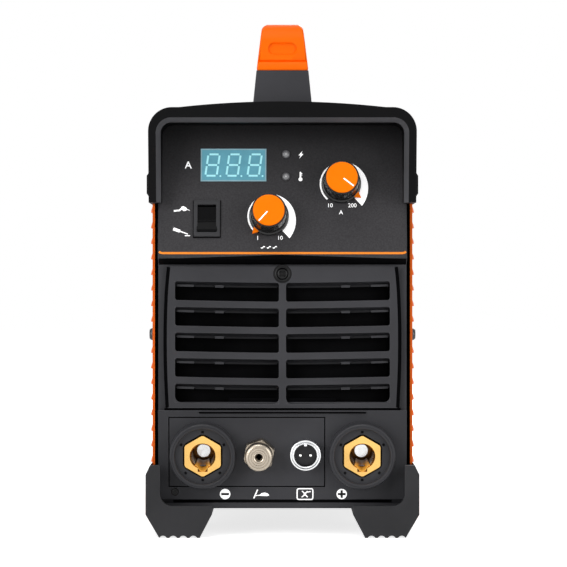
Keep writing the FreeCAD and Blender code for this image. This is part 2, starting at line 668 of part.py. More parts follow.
ring(rear_cuts, s.gas_x, s.inlet_height, s.inlet_stub_radius + s.fit_gap)
mains_wide = s.mains_bezel_width / 2 - s.bezel_rim + s.fit_gap
mains_tall = s.mains_bezel_tall / 2 - s.bezel_rim + s.fit_gap
rectangle(rear_cuts, s.mains_x - mains_wide, s.rear_row_height - mains_tall,
          s.mains_x + mains_wide, s.rear_row_height + mains_tall)
pocket(rear_frame, rear_cuts, "rear_cut", wall + 1, back=True)
side_screw_holes(rear_frame, "rear_side_holes", rear_screw_y)
roof_screw_holes(rear_frame, "rear_roof_holes", -handle_screw_y, s.frame_top, wall + 1)


# ---------------------------------------------------------------------------------------------
# Hoods: black visors over both ends of the cover.  Each is made for the front; the rear one is
# turned round.
# ---------------------------------------------------------------------------------------------

def edges_where(feature, test):
    """Names of the feature's edges whose ends all pass the test."""
    doc.recompute()
    return [f"Edge{number}" for number, edge in enumerate(feature.Shape.Edges, start=1)
            if all(test(vertex.Point) for vertex in edge.Vertexes)]


def hood(label, face_y):
    """A visor whose underside clears a case face that stands at face_y(height)."""
    body = new_body(label)
    half = s.hood_width / 2
    crest = half - s.hood_radius - s.hood_flat
    top = s.hood_corner_top
    peak = top + s.hood_crown
    back_y = front_y + s.hood_depth
    below = s.hood_bottom - 1
    outline = sketch_on(body, "XZ_Plane", label + "_outline", -front_y)
    draw(outline, [(-half, s.hood_bottom), (half, s.hood_bottom), (half, top, s.hood_radius),
                   (crest, top), ("by", 0, peak), (-crest, top), (-half, top, s.hood_radius)])
    pad(body, outline, label + "_shell", s.hood_depth, back=True)
    seat = sketch_on(body, "XZ_Plane", label + "_seat", -front_y - s.handle_setback + s.seat_margin)
    rectangle(seat, -s.hood_seat_width / 2, top - 1, s.hood_seat_width / 2, s.seat_top)
    pad(body, seat, label + "_handle_seat", s.handle_leg + 2 * s.seat_margin, back=True)
    bosses = sketch_on(body, "XZ_Plane", label + "_bosses", -front_y - s.boss_setback)
    for side in (-1, 1):
        low, high = s.boss_bottom, s.boss_bottom + s.boss_height
        draw(bosses, [(side * (half - 1), low), (side * half, low),
                      (side * (half + s.boss_proud), low + s.boss_chamfer),
                      (side * (half + s.boss_proud), high - s.boss_chamfer),
                      (side * half, high), (side * (half - 1), high)])
    pad(body, bosses, label + "_side_boss", s.boss_depth, back=True)
    opening = sketch_on(body, "XZ_Plane", label + "_opening")
    open_half = s.hood_opening_width / 2
    draw(opening, [(-open_half, below), (open_half, below),
                   (open_half, s.hood_opening_top, s.hood_opening_radius),
                   (-open_half, s.hood_opening_top, s.hood_opening_radius)])
    pocket(body, opening, label + "_window", both=True)
    room = sketch_on(body, "YZ_Plane", label + "_room")
    ceiling = s.frame_top + s.free_gap
    draw(room, [(face_y(s.hood_bottom) - (face_y(ceiling) - face_y(s.hood_bottom))
                 / (ceiling - s.hood_bottom), below),
                (face_y(ceiling), ceiling), (back_y + 1, ceiling), (back_y + 1, below)])
    pocket(body, room, label + "_frame_room", s.frame_width + 2 * s.free_gap, both=True)
    rebate = sketch_on(body, "XZ_Plane", label + "_rebate", s.free_gap - cover_front_y)
    rim = s.cover_width / 2 + s.fit_gap / 2
    roof = s.cover_top + s.fit_gap / 2
    draw(rebate, [(-rim, below), (rim, below), (rim, roof, s.cover_radius), (-rim, roof, s.cover_radius)])
    pocket(body, rebate, label + "_cover_room")
    lean = sketch_on(body, "YZ_Plane", label + "_lean")
    draw(lean, [(front_y - 1, below), (front_y + (peak - below) * tangent(s.hood_lean), below),
                (front_y, peak), (front_y - 1, peak)])
    leaned = pocket(body, lean, label + "_front_lean", 2 * s.hood_width, both=True)

    def on_rim(point):
        face = front_y.value + (peak.value - point.z) * math.tan(math.radians(s.hood_lean.value))
        return (abs(point.y - face) < 1e-3 and abs(point.x) < open_half.value + 1e-3
                and point.z < s.hood_opening_top.value + 1e-3)

    rim_edges = [name for name in edges_where(leaned, on_rim)]
    bevel = body.newObject("PartDesign::Chamfer", label + "_bevel")
    bevel.Base = (leaned, rim_edges)
    bind(bevel, "Size", s.hood_bevel)
    roof_screw_holes(body, label + "_roof_holes", handle_screw_y, s.seat_top, s.hood_depth / 4)
    return body


front_hood = hood("front_hood", lambda height: panel_y(height) - s.overlay_sheet - s.fit_gap)
rear_hood = hood("rear_hood", lambda height: -rear_face_y - s.fit_gap)
put(rear_hood, 0, 0, 0, 180, (0, 0, 1))


# ---------------------------------------------------------------------------------------------
# Cover: orange sheet steel folded over both sides and the roof, with pressed louvres
# ---------------------------------------------------------------------------------------------

side_cover = new_body("side_cover")


def cover_section(name, inset, beyond=0):
    """The cover's outline, inset from its outer face."""
    sketch = sketch_on(side_cover, "XZ_Plane", name)
    half = s.cover_width / 2 - inset
    top = s.cover_top - inset
    radius = s.cover_radius - inset
    bottom = s.cover_bottom - beyond
    draw(sketch, [(-half, bottom), (half, bottom), (half, top, radius), (-half, top, radius)])
    return sketch


cover_length = s.machine_length - 2 * s.cover_setback
pad(side_cover, cover_section("cover_outline", 0), "cover_fold", cover_length, both=True)
pocket(side_cover, cover_section("cover_inside", s.cover_sheet, 1), "cover_inner",
       cover_length - 2 * s.cover_sheet, both=True)
pocket(side_cover, cover_section("cover_ends", s.cover_flange, 1), "cover_end_flange", both=True)
side_screw_holes(side_cover, "cover_front_holes", front_screw_y)
side_screw_holes(side_cover, "cover_rear_holes", rear_screw_y)
roof_screw_holes(side_cover, "cover_front_roof_holes", handle_screw_y, s.cover_top, 2 * s.cover_flange)
roof_screw_holes(side_cover, "cover_rear_roof_holes", -handle_screw_y, s.cover_top, 2 * s.cover_flange)

louvres = []
skin = s.cover_width / 2
for column, side_of in (("front", -1), ("rear", 1)):
    start = side_of * s.louvre_spacing / 2 - s.louvre_length / 2
    slot = sketch_on(side_cover, "YZ_Plane", column + "_louvre_slot")
    rectangle(slot, start, s.louvre_first - s.louvre_mouth, start + s.louvre_length,
              s.louvre_first + s.louvre_height)
    louvres.append(pocket(side_cover, slot, column + "_louvre_cut", 2 * s.cover_width, both=True))
    blade = sketch_on(side_cover, "XZ_Plane", column + "_louvre_blade", -start)
    for side in (-1, 1):
        draw(blade, [(side * (skin - s.cover_sheet), s.louvre_first + s.louvre_height),
                     (side * skin, s.louvre_first + s.louvre_height),
                     (side * (skin + s.louvre_proud), s.louvre_first),
                     (side * (skin + s.louvre_proud - s.cover_sheet), s.louvre_first)])
    louvres.append(pad(side_cover, blade, column + "_louvre_press", s.louvre_length, back=True))


def stack(body, originals, name, axis, step, count):
    """Repeats features in even steps along one of the body's own axes."""
    pattern = body.newObject("PartDesign::LinearPattern", name)
    pattern.Originals = originals
    pattern.Direction = (origin_feature(body, axis), [""])
    pattern.Mode = "Spacing"
    bind(pattern, "Offset", step)
    bind(pattern, "Occurrences", count)
    body.Tip = pattern


stack(side_cover, louvres, "louvres", "Z_Axis", s.louvre_pitch, s.louvre_rows)


# ---------------------------------------------------------------------------------------------
# Base tray and the four corner feet with their screws
# ---------------------------------------------------------------------------------------------

tray_half = s.cover_width / 2 - s.cover_sheet - s.fit_gap
tray_length = rear_back_y - frame_back_y
tray_sheet = s.tray_sheet
foot_end = s.machine_length / 2 - s.foot_setback
foot_screw_y = foot_end - s.foot_screw_inset
foot_spots = [(side * s.foot_screw_x, end * foot_screw_y) for side in (-1, 1) for end in (-1, 1)]
tray_outer = block("tray_outer", -tray_half, frame_back_y, s.tray_height, 2 * tray_half, tray_length,
                   s.tray_flange)
tray_inner = block("tray_inner", tray_sheet - tray_half, frame_back_y + tray_sheet,
                   s.tray_height + tray_sheet, 2 * (tray_half - tray_sheet),
                   tray_length - 2 * tray_sheet, s.tray_flange)
tray_ends = block("tray_ends", tray_sheet - tray_half, frame_back_y - 1, s.tray_height + s.tray_end_lip,
                  2 * (tray_half - tray_sheet), tray_length + 2, s.tray_flange)
tray_holes = [peg("tray_hole", x, y, s.tray_height - 1, s.foot_screw_radius + s.free_gap,
                  2 * tray_sheet + 1, 8) for x, y in foot_spots]
base_tray = keep("base_tray", cut("base_tray", tray_outer, [tray_inner, tray_ends] + tray_holes))


def foot(label, side, end, wall_y):
    """A bumper that wraps one bottom corner: sole below, low wall in front, high wall at the side.
    end is -1 at the front; the front wall stands in front of wall_y."""
    body = new_body(label)
    start = foot_end if end > 0 else -foot_end
    outline = sketch_on(body, "XZ_Plane", label + "_outline", -start)
    sole = []
    width = s.foot_sole_outer - s.foot_sole_inner
    count = round(width.value / s.scallop_pitch.value)
    pitch = width / count
    for number in range(count):
        left = s.foot_sole_inner + pitch * number
        sole.append((side * left, 0))
        sole.append((side * (left + pitch * 0.25), 0))
        sole.append(("by", side * (left + pitch * 0.625), s.scallop_depth))
    sole.append((side * s.foot_sole_outer, 0))
    draw(outline, sole + [(side * s.foot_half, s.foot_shoulder), (side * s.foot_half, s.foot_side_top),
                          (side * (s.foot_half - s.foot_tip_inset), s.foot_tip),
                          (side * s.foot_front_inner, s.foot_tip),
                          (side * s.foot_front_inner, s.foot_front_rise, s.foot_front_radius),
                          (side * s.foot_inner, s.foot_front_rise), (side * s.foot_inner, s.foot_shoulder)])
    pad(body, outline, label + "_block", s.foot_length, back=end < 0)
    seat = sketch_on(body, "XZ_Plane", label + "_seat", -wall_y)
    beyond = s.foot_inner - 1
    rectangle(seat, side * beyond, s.tray_height, side * (s.cover_width / 2 + s.fit_gap),
              s.foot_tip + 1)
    pocket(body, seat, label + "_corner", back=end > 0)
    hole = sketch_on(body, "XY_Plane", label + "_hole")
    hexagon(hole, 2 * (s.foot_screw_radius + s.fit_gap), True, side * s.foot_screw_x, end * foot_screw_y)
    pocket(body, hole, label + "_screw_hole", both=True)
    sink = sketch_on(body, "XY_Plane", label + "_sink")
    hexagon(sink, 2 * (s.foot_screw_head + s.free_gap), True, side * s.foot_screw_x, end * foot_screw_y)
    pocket(body, sink, label + "_counterbore", s.foot_counterbore, back=True)
    return body


for end, place, wall_y in ((-1, "front", -foot_end + s.foot_front_wall),
                           (1, "rear", rear_face_y + s.free_gap)):
    for side, hand in ((-1, "left"), (1, "right")):
        foot(f"foot_{place}_{hand}", side, end, wall_y)


def screw(name, x, y, z, radius, length, head_radius, head, turn=0, axis=(1, 0, 0)):
    """A cylinder-head screw: its head stands on x, y, z and its shank goes the other way."""
    piece = fuse(name, [peg(name + "_head", 0, 0, 0, head_radius, head, 10),
                        peg(name + "_shank", 0, 0, -length, radius, length, 5)])
    put(piece, x, y, z, turn, axis)
    return piece


group("foot_screws", [screw("foot_screw", x, y, s.foot_counterbore, s.foot_screw_radius,
                            s.tray_height + s.foot_screw_grip - s.foot_counterbore,
                            s.foot_screw_head, s.pan_head, 180)
                      for x, y in foot_spots])
group("cover_screws", [screw("cover_screw", side * s.cover_width / 2, y, s.cover_screw_height,
                             s.screw_radius, s.cover_width / 2 - frame_half + wall, s.cover_screw_head,
                             s.cover_screw_proud, side * 90, (0, 1, 0))
                       for side in (-1, 1) for y in (front_screw_y, rear_screw_y)])


# ---------------------------------------------------------------------------------------------
# Grille door: a removable moulding with two columns of bowed slots and a slat behind each
# ---------------------------------------------------------------------------------------------

grille_door = new_body("grille_door")
door_front_y = grille_y - s.door_thickness
door = sketch_on(grille_door, "XZ_Plane", "door_outline", -door_front_y)
middle = (s.door_bottom + s.door_top) / 2
draw(door, [(-s.door_half_bottom, s.door_bottom), (s.door_half_bottom, s.door_bottom),
            ("by", s.door_half_middle, middle),
            (s.door_half_top, s.door_top), (-s.door_half_top, s.door_top),
            ("by", -s.door_half_middle, middle)])
pad(grille_door, door, "door_plate", s.door_thickness, back=True)
bar = s.slot_bar / 2
slots = sketch_on(grille_door, "XZ_Plane", "door_slots", -door_front_y)
slats = sketch_on(grille_door, "YZ_Plane", "door_slats")
for side in (-1, 1):
    centre = side * (bar + s.slot_half) / 2
    draw(slots, [(side * bar, s.slot_first), ("by", centre, s.slot_first + s.slot_bow * 0.4),
                 (side * s.slot_half, s.slot_first + s.slot_bow),
                 (side * s.slot_half, s.slot_first + s.slot_bow + s.slot_tall),
                 ("by", centre, s.slot_first + s.slot_bow * 0.4 + s.slot_tall),
                 (side * bar, s.slot_first + s.slot_tall)])
slot_row = pocket(grille_door, slots, "door_slot", s.door_thickness + 1)
slat_top = s.slot_first + s.slot_tall + s.slot_bow
slat_back = grille_y + s.slat_depth
draw(slats, [(grille_y, slat_top), (slat_back, slat_top - s.slat_drop),
             (slat_back, slat_top - s.slat_drop + s.slat_sheet), (grille_y, slat_top + s.slat_sheet)])
slat_row = pad(grille_door, slats, "door_slat", 2 * s.slot_half, both=True)
stack(grille_door, [slot_row, slat_row], "door_rows", "Z_Axis", s.slot_pitch, s.slot_rows)
door_screw = sketch_on(grille_door, "XZ_Plane", "door_screw", -door_front_y)
ring(door_screw, 0, s.grille_screw_height, s.screw_radius + s.fit_gap)
pocket(grille_door, door_screw, "door_screw_hole", s.door_thickness + 1)
door_sink = sketch_on(grille_door, "XZ_Plane", "door_sink", -door_front_y)
ring(door_sink, 0, s.grille_screw_height, s.grille_counterbore)
pocket(grille_door, door_sink, "door_counterbore", s.door_thickness / 2)
hooks = sketch_on(grille_door, "YZ_Plane", "door_hooks")
hook_y = grille_y + wall + s.fit_gap
hook_top = mouth_bottom + s.slat_sheet * 2
draw(hooks, [(grille_y, mouth_bottom + s.fit_gap), (hook_y, mouth_bottom + s.fit_gap),
             (hook_y, s.door_bottom), (hook_y + s.slat_sheet, s.door_bottom),
             (hook_y + s.slat_sheet, hook_top), (grille_y, hook_top)])
pad(grille_door, hooks, "door_hook", s.slot_half, both=True)

keep("grille_screw", screw("grille_screw", 0, door_front_y + s.door_thickness / 2, s.grille_screw_height,
                           s.screw_radius, s.door_thickness / 2 + wall, s.grille_screw_head,
                           s.door_thickness / 2, 90))


# ---------------------------------------------------------------------------------------------
# Control panel: printed overlay, display, lamps, mode switch, knobs and the board behind them
# ---------------------------------------------------------------------------------------------

overlay = new_body("control_overlay")
film = panel_sketch(overlay, "overlay_outline")
film_half = s.overlay_width / 2
rectangle(film, -film_half, up_panel(s.overlay_bottom), film_half, up_panel(s.overlay_top))
pad(overlay, film, "overlay_film", s.overlay_sheet)
film_cuts = panel_sketch(overlay, "overlay_cuts")
panel_holes(film_cuts, s.fit_gap / 2)
pocket(overlay, film_cuts, "overlay_cut", s.overlay_sheet + 1, back=True)

board_face = -s.board_setback
window_back = s.overlay_sheet - s.window_thickness
half_wide, half_tall = s.display_width / 2, s.display_tall / 2


def slab(label, half_x, half_y, low, high, radius=None):
    """A flat block about its own Z axis, from low to high."""
    body = new_body(label)
    sketch = sketch_on(body, "XY_Plane", label + "_outline", low)
    rectangle(sketch, -half_x, -half_y, half_x, half_y, radius)
    pad(body, sketch, label + "_block", high - low)
    return body


on_panel(slab("display_window", half_wide, half_tall, window_back, sized(s.overlay_sheet)),
         s.display_x, s.display_height)
on_panel(slab("display_module", half_wide - s.fit_gap, half_tall - s.fit_gap, board_face, window_back),
         s.display_x, s.display_height)

lamps = []
lamp_top = s.overlay_sheet + s.lamp_proud
for height in (s.lamp_height_upper, s.lamp_height_lower):
    lamp = peg("lamp", 0, 0, 0, s.lamp_radius, lamp_top - board_face, 12)
    on_panel(lamp, s.lamp_x, height, board_face)
    lamps.append(lamp)
group("status_lamps", lamps)


def rocker_switch(name, bezel_wide, bezel_tall, rocker_wide, rocker_tall, depth):
    """A rocker switch with +Z outwards from the underside of its bezel: returns body and rocker."""
    body = slab(name + "_body", bezel_wide / 2, bezel_tall / 2, sized(0), s.bezel_sheet)
    rim = s.bezel_rim
    case = sketch_on(body, "XY_Plane", name + "_case")
    rectangle(case, rim - bezel_wide / 2, rim - bezel_tall / 2, bezel_wide / 2 - rim, bezel_tall / 2 - rim)
    pad(body, case, name + "_housing", depth, back=True)
    reach = rocker_tall / 2
    cavity = sketch_on(body, "XY_Plane", name + "_cavity", s.bezel_sheet)
    rectangle(cavity, -rocker_wide / 2 - s.free_gap, -reach - s.free_gap,
              rocker_wide / 2 + s.free_gap, reach + s.free_gap)
    pocket(body, cavity, name + "_well", s.bezel_sheet + s.pivot_depth + reach + s.free_gap)
    pivot_half = rocker_wide / 2 + s.free_gap + s.pivot_pin
    bearing = sketch_on(body, "YZ_Plane", name + "_bearing")
    ring(bearing, 0, -s.pivot_depth, s.pivot_radius + s.run_gap)
    pocket(body, bearing, name + "_pivot_hole", 2 * pivot_half + s.fit_gap, both=True)

    rocker = new_body(name + "_rocker")
    key = sketch_on(rocker, "YZ_Plane", name + "_key")
    raised = s.rocker_wing + s.rocker_tilt
    pressed = s.rocker_wing - s.rocker_tilt
    draw(key, [(-reach * cosine(raised), reach * sine(raised) - s.pivot_depth),
               ("by", 0, -s.pivot_depth - reach),
               (reach * cosine(pressed), reach * sine(pressed) - s.pivot_depth),
               (0, s.valley_rise - s.pivot_depth)])
    pad(rocker, key, name + "_rocker_block", rocker_wide, both=True)
    pin = sketch_on(rocker, "YZ_Plane", name + "_pin")
    ring(pin, 0, -s.pivot_depth, s.pivot_radius)
    pad(rocker, pin, name + "_pivot_pin", 2 * pivot_half, both=True)
    return body, rocker


for piece in rocker_switch("mode_switch", s.mode_bezel_width, s.mode_bezel_tall, s.mode_rocker_width,
                           s.mode_rocker_tall, s.mode_depth):
    on_panel(piece, s.mode_x, s.mode_height, s.overlay_sheet)


def knob(name, x, height, turn):
    """A knob with its cap and pointer on the shaft of its own potentiometer."""
    foot_z = s.overlay_sheet + s.knob_gap
    top_z = foot_z + s.knob_height
    seat_z = top_z - s.cap_sunk
    hollow_z = foot_z + s.knob_hollow
    bore_z = s.shaft_top + s.fit_gap
    grip = turned(name + "_knob", [
        (s.knob_hollow_radius, foot_z), (s.knob_skirt_radius, foot_z),
        (s.knob_skirt_radius, foot_z + s.knob_skirt), (s.knob_top_radius, foot_z + s.knob_skirt),
        (s.knob_top_radius, top_z), (s.cap_radius + s.fit_gap / 2, top_z),
        (s.cap_radius + s.fit_gap / 2, seat_z), (0, seat_z), (0, bore_z),
        (s.shaft_radius + s.fit_gap / 2, bore_z), (s.shaft_radius + s.fit_gap / 2, hollow_z),
        (s.knob_hollow_radius, hollow_z)])
    on_panel(grip, x, height)
    cap = turned(name + "_cap", [(0, seat_z), (s.cap_radius, seat_z),
                                 (s.cap_radius, seat_z + s.cap_thickness),
                                 (0, seat_z + s.cap_thickness)], node=False)
    pointer = new_body(name + "_pointer", node=False)
    arrow = sketch_on(pointer, "XY_Plane", name + "_arrow", foot_z)
    root = s.knob_skirt_radius + s.run_gap
    draw(arrow, [(-s.pointer_half, root), (s.pointer_half, root), (0, root + s.pointer_reach)])
    pad(pointer, arrow, name + "_arrow_pad", s.knob_skirt)
    put(pointer, 0, 0, 0, -turn, (0, 0, 1))
    on_panel(group(name + "_knob_cap", [cap, pointer]), x, height)
    bushing = s.bushing_top
    bore = s.shaft_radius + s.run_gap
    pot = slab(name + "_pot", s.pot_radius, s.pot_radius, board_face, -wall)
    thread = sketch_on(pot, "XY_Plane", name + "_pot_thread", -wall)
    ring(thread, 0, 0, s.bushing_radius)
    pad(pot, thread, name + "_pot_bushing", bushing + wall)
    bearing = sketch_on(pot, "XY_Plane", name + "_pot_bearing", bushing)
    ring(bearing, 0, 0, bore)
    pocket(pot, bearing, name + "_pot_bore", bushing + wall + s.free_gap)
    on_panel(pot, x, height)
    shaft = turned(name + "_shaft", [(0, -wall), (s.shaft_radius, -wall),
                                     (s.shaft_radius, s.shaft_top), (0, s.shaft_top)])
    on_panel(shaft, x, height)


knob("current", s.current_x, s.current_height, s.current_turn)
knob("postflow", s.postflow_x, s.postflow_height, s.postflow_turn)

board = new_body("control_board")
board_half = s.board_width / 2
sheet_outline = panel_sketch(board, "board_outline", s.board_setback)
rectangle(sheet_outline, -board_half, s.board_rise, board_half, s.board_rise + s.board_tall)
pad(board, sheet_outline, "board_sheet", s.board_sheet, back=True)
board_cuts = panel_sketch(board, "board_cuts", s.board_setback)
notch_wide = s.mode_bezel_width / 2 - s.bezel_rim + s.free_gap
notch_tall = s.mode_bezel_tall / 2 - s.bezel_rim + s.free_gap
notch_up = up_panel(s.mode_height)
rectangle(board_cuts, s.mode_x - notch_wide, notch_up - notch_tall,
          s.mode_x + notch_wide, notch_up + notch_tall)
for x, up in board_spots:
    ring(board_cuts, x, up, s.board_screw_radius + s.fit_gap)
pocket(board, board_cuts, "board_cut", s.board_sheet + 1)

board_screws = []
for x, up in board_spots:
    height = s.ledge_height + up * cosine(s.panel_tilt)
    head_low = board_face - s.board_sheet - s.board_screw_head
    piece = fuse("board_screw", [
        peg("board_screw_head", 0, 0, head_low, 2 * s.board_screw_radius, s.board_screw_head, 6),
        peg("board_screw_shank", 0, 0, board_face - s.board_sheet, s.board_screw_radius,
            s.board_sheet + s.board_screw_bite, 5)])
    on_panel(piece, x, height)
    board_screws.append(piece)
group("board_screws", board_screws)


# ---------------------------------------------------------------------------------------------
# Lower panel: connector plate, welding sockets, gas outlet and control socket
# ---------------------------------------------------------------------------------------------

plate = new_body("connector_plate")
plate_outline = lower_sketch(plate, "plate_outline")
rectangle(plate_outline, s.plate_left, up_lower(s.plate_bottom), s.plate_right, up_lower(s.plate_top))
pad(plate, plate_outline, "plate_sheet_pad", s.plate_sheet, back=True)
plate_cuts = lower_sketch(plate, "plate_cuts")
socket_holes(plate_cuts, s.fit_gap, with_positive=False)
pocket(plate, plate_cuts, "plate_cut", s.plate_sheet + 1)


def welding_socket(name, x):
    """A bayonet panel socket: black body, brass contact with a keyed bore, bolt from behind."""
    bore = s.contact_radius + s.fit_gap / 2
    body = turned(name + "_socket_body", [
        (bore, -s.barrel_depth), (s.barrel_radius, -s.barrel_depth), (s.barrel_radius, 0),
        (s.flange_radius, 0), (s.flange_radius, s.flange_top), (s.cup_radius, s.flange_top),
        (s.cup_radius, s.cup_floor), (bore, s.cup_floor)])
    on_lower(body, x, s.socket_height)

    contact = new_body(name + "_socket_contact")
    barrel = sketch_on(contact, "XY_Plane", name + "_contact_barrel", -s.barrel_depth)
    ring(barrel, 0, 0, s.contact_radius)
    pad(contact, barrel, name + "_contact_round", s.barrel_depth + s.cup_floor)
    head = sketch_on(contact, "XY_Plane", name + "_contact_head", s.cup_floor)
    hexagon(head, s.contact_flats)
    pad(contact, head, name + "_contact_hex", s.contact_top - s.cup_floor)
    bore = sketch_on(contact, "XY_Plane", name + "_contact_bore", s.contact_top)
    ring(bore, 0, 0, s.contact_bore)
    pocket(contact, bore, name + "_bore", s.bore_depth)
    keyway = sketch_on(contact, "XY_Plane", name + "_contact_key", s.contact_top)
    rectangle(keyway, -s.key_width / 2, -s.contact_bore - s.key_depth, s.key_width / 2, 0)
    pocket(contact, keyway, name + "_keyway", s.bore_depth - s.contact_floor)
    through = sketch_on(contact, "XY_Plane", name + "_contact_through", s.contact_top)
    ring(through, 0, 0, s.stud_radius + s.fit_gap)
    pocket(contact, through, name + "_stud_hole")
    on_lower(contact, x, s.socket_height)

    bolt = new_body(name + "_socket_bolt")
    nut = sketch_on(bolt, "XY_Plane", name + "_bolt_head", -s.barrel_depth)
    hexagon(nut, s.bolt_flats)
    pad(bolt, nut, name + "_bolt_hex", s.bolt_head, back=True)
    shank = sketch_on(bolt, "XY_Plane", name + "_bolt_shank", -s.barrel_depth)
    ring(shank, 0, 0, s.stud_radius)
    floor = s.contact_top - s.bore_depth
    pad(bolt, shank, name + "_bolt_rod", floor - s.fit_gap + s.barrel_depth)
    on_lower(bolt, x, s.socket_height)


welding_socket("negative", -s.socket_x)
welding_socket("positive", s.socket_x)


def hex_fitting(label, flats, hex_tall, outline, bore, low, point_up=True):
    """A turned metal fitting with a hexagon that stands on the panel, bored right through."""
    body = turned(label, outline)
    wrench = sketch_on(body, "XY_Plane", label + "_wrench")
    hexagon(wrench, flats, point_up)
    pad(body, wrench, label + "_hexagon", hex_tall)
    hole = sketch_on(body, "XY_Plane", label + "_hole", low - 1)
    ring(hole, 0, 0, bore)
    pocket(body, hole, label + "_bore", back=True)
    return body


gas_outlet = hex_fitting("gas_outlet", s.gas_flats, s.gas_hex,
                         [(0, -s.gas_stub), (s.gas_stub_radius, -s.gas_stub), (s.gas_stub_radius, 0),
                          (s.gas_nose_radius, 0), (s.gas_nose_radius, s.gas_top - s.gas_nose_edge),
                          (s.gas_nose_radius - s.gas_nose_edge, s.gas_top), (0, s.gas_top)],
                         s.gas_bore, -s.gas_stub)
on_lower(gas_outlet, s.gas_x, s.gas_height)

inside = s.control_radius - s.control_wall
shell = turned("control_socket_shell", [
    (inside, -s.control_stub), (s.control_radius, -s.control_stub), (s.control_radius, 0),
    (s.control_ring, 0), (s.control_ring, s.control_flange), (s.control_radius, s.control_flange),
    (s.control_radius, s.control_top), (inside, s.control_top)])
on_lower(shell, s.control_x, s.control_height)
insert_top = s.control_top - s.insert_recess
insert = turned("control_socket_insert", [
    (0, -s.control_stub), (inside - s.fit_gap / 2, -s.control_stub),
    (inside - s.fit_gap / 2, insert_top), (0, insert_top)])
key = sketch_on(insert, "XY_Plane", "insert_key", insert_top)
rectangle(key, -s.insert_key / 2, inside - s.insert_key_deep, s.insert_key / 2, inside - s.fit_gap)
pad(insert, key, "insert_key_pad", s.insert_recess - 1)
pin_holes = sketch_on(insert, "XY_Plane", "insert_holes", insert_top)
for side in (-1, 1):
    ring(pin_holes, side * s.pin_spacing / 2, 0, s.pin_radius + s.run_gap)
pocket(insert, pin_holes, "insert_hole")
on_lower(insert, s.control_x, s.control_height)
contact_pins = [peg("control_pin", side * s.pin_spacing / 2, 0, -s.control_stub - s.pin_tail,
                    s.pin_radius, s.control_stub + s.pin_tail + s.control_top - s.pin_short, 8)
                for side in (-1, 1)]
on_lower(group("control_socket_pins", contact_pins), s.control_x, s.control_height)


# ---------------------------------------------------------------------------------------------
# Handle: a black carrying frame on both hoods and an orange grip over it
# ---------------------------------------------------------------------------------------------

base_z = s.seat_top
leg_y = front_y + s.handle_setback
leg_back_y = leg_y + s.handle_leg
rake = tangent(s.handle_rake)
split_y = leg_y + (s.handle_split - base_z) * rake
nose_y = leg_y + (s.handle_top - base_z) * rake
shoulder_y = leg_back_y + s.handle_nose
rib_top = s.handle_under + s.handle_rib


def handle_front(name, low, low_width, high, high_width, top_radius=None):
    """The handle's outline as seen from the front, run along its whole length."""
    body = new_body(name, node=False)
    sketch = sketch_on(body, "XZ_Plane", name + "_outline")
    crown = (top_radius,) if top_radius is not None else ()
    draw(sketch, [(-low_width / 2, low), (low_width / 2, low),
                  (high_width / 2, high) + crown, (-high_width / 2, high) + crown])
    pad(body, sketch, name + "_run", s.machine_length, both=True)
    return body


def handle_side(name, corners):
    """The handle's outline as seen from the side: corners of its front half, mirrored."""
    body = new_body(name, node=False)
    sketch = sketch_on(body, "YZ_Plane", name + "_outline")
    mirrored = [(-corner[0],) + tuple(corner[1:]) for corner in reversed(corners)]
    draw(sketch, corners + mirrored)
    pad(body, sketch, name + "_width", s.hood_width, both=True)
    return body


taper = (s.handle_base_width - s.handle_split_width) / (s.handle_split - base_z)
rib_width = s.handle_base_width - taper * (rib_top - base_z)
frame_solid = common("handle_frame_solid", [
    handle_front("frame_front", base_z, s.handle_base_width, rib_top, rib_width),
    handle_side("frame_side", [
        (leg_back_y + s.handle_nose, s.handle_under, s.handle_radius), (leg_back_y, base_z),
        (leg_y, base_z), (split_y, s.handle_split), (leg_back_y - s.handle_radius, s.handle_split),
        (leg_back_y, rib_top)])])
frame_holes = [rod("handle_hole", side * s.handle_screw_x, end * handle_screw_y, base_z - 1,
                   s.handle_screw_radius + s.fit_gap / 2, s.handle_screw_bite + s.handle_hole_spare)
               for side in (-1, 1) for end in (-1, 1)]
keep("handle_frame", cut("handle_frame", frame_solid, frame_holes))
keep("handle_grip", common("handle_grip", [
    handle_front("grip_front", s.handle_split, s.handle_split_width, s.handle_top, s.handle_top_width,
                 s.handle_top_radius),
    handle_side("grip_side", [
        (leg_back_y, rib_top), (leg_back_y - s.handle_radius, s.handle_split), (split_y, s.handle_split),
        (nose_y, s.handle_top, s.handle_nose)])]))
seat_z = s.frame_top - wall
group("handle_screws", [screw("handle_screw", side * s.handle_screw_x, end * handle_screw_y, seat_z,
                              s.handle_screw_radius, base_z + s.handle_screw_bite - seat_z,
                              s.handle_screw_head, s.pan_head, 180)
                        for side in (-1, 1) for end in (-1, 1)])


# ---------------------------------------------------------------------------------------------
# Rear wall: fan with its guard, mains switch, cable gland and gas inlet
# ---------------------------------------------------------------------------------------------

fan_half = s.fan_size / 2
fan_sunk = wall
fan_frame = new_body("fan_frame")
fan_outline = sketch_on(fan_frame, "XY_Plane", "fan_outline")
rectangle(fan_outline, -fan_half, -fan_half, fan_half, fan_half)
pad(fan_frame, fan_outline, "fan_block", s.fan_depth, back=True)
fan_duct = sketch_on(fan_frame, "XY_Plane", "fan_duct")
ring(fan_duct, 0, 0, s.fan_bore)
for x, rise in fan_corners:
    ring(fan_duct, x, rise, s.fan_screw_radius + s.fit_gap)
pocket(fan_frame, fan_duct, "fan_opening")
fan_hub = sketch_on(fan_frame, "XY_Plane", "fan_hub")
ring(fan_hub, 0, 0, s.hub_radius)
pad(fan_frame, fan_hub, "fan_hub_disc", s.hub_thickness, back=True)
strut = sketch_on(fan_frame, "XY_Plane", "fan_strut")
rectangle(strut, s.hub_radius - 1, -s.strut_width / 2, s.fan_bore + 1, s.strut_width / 2)
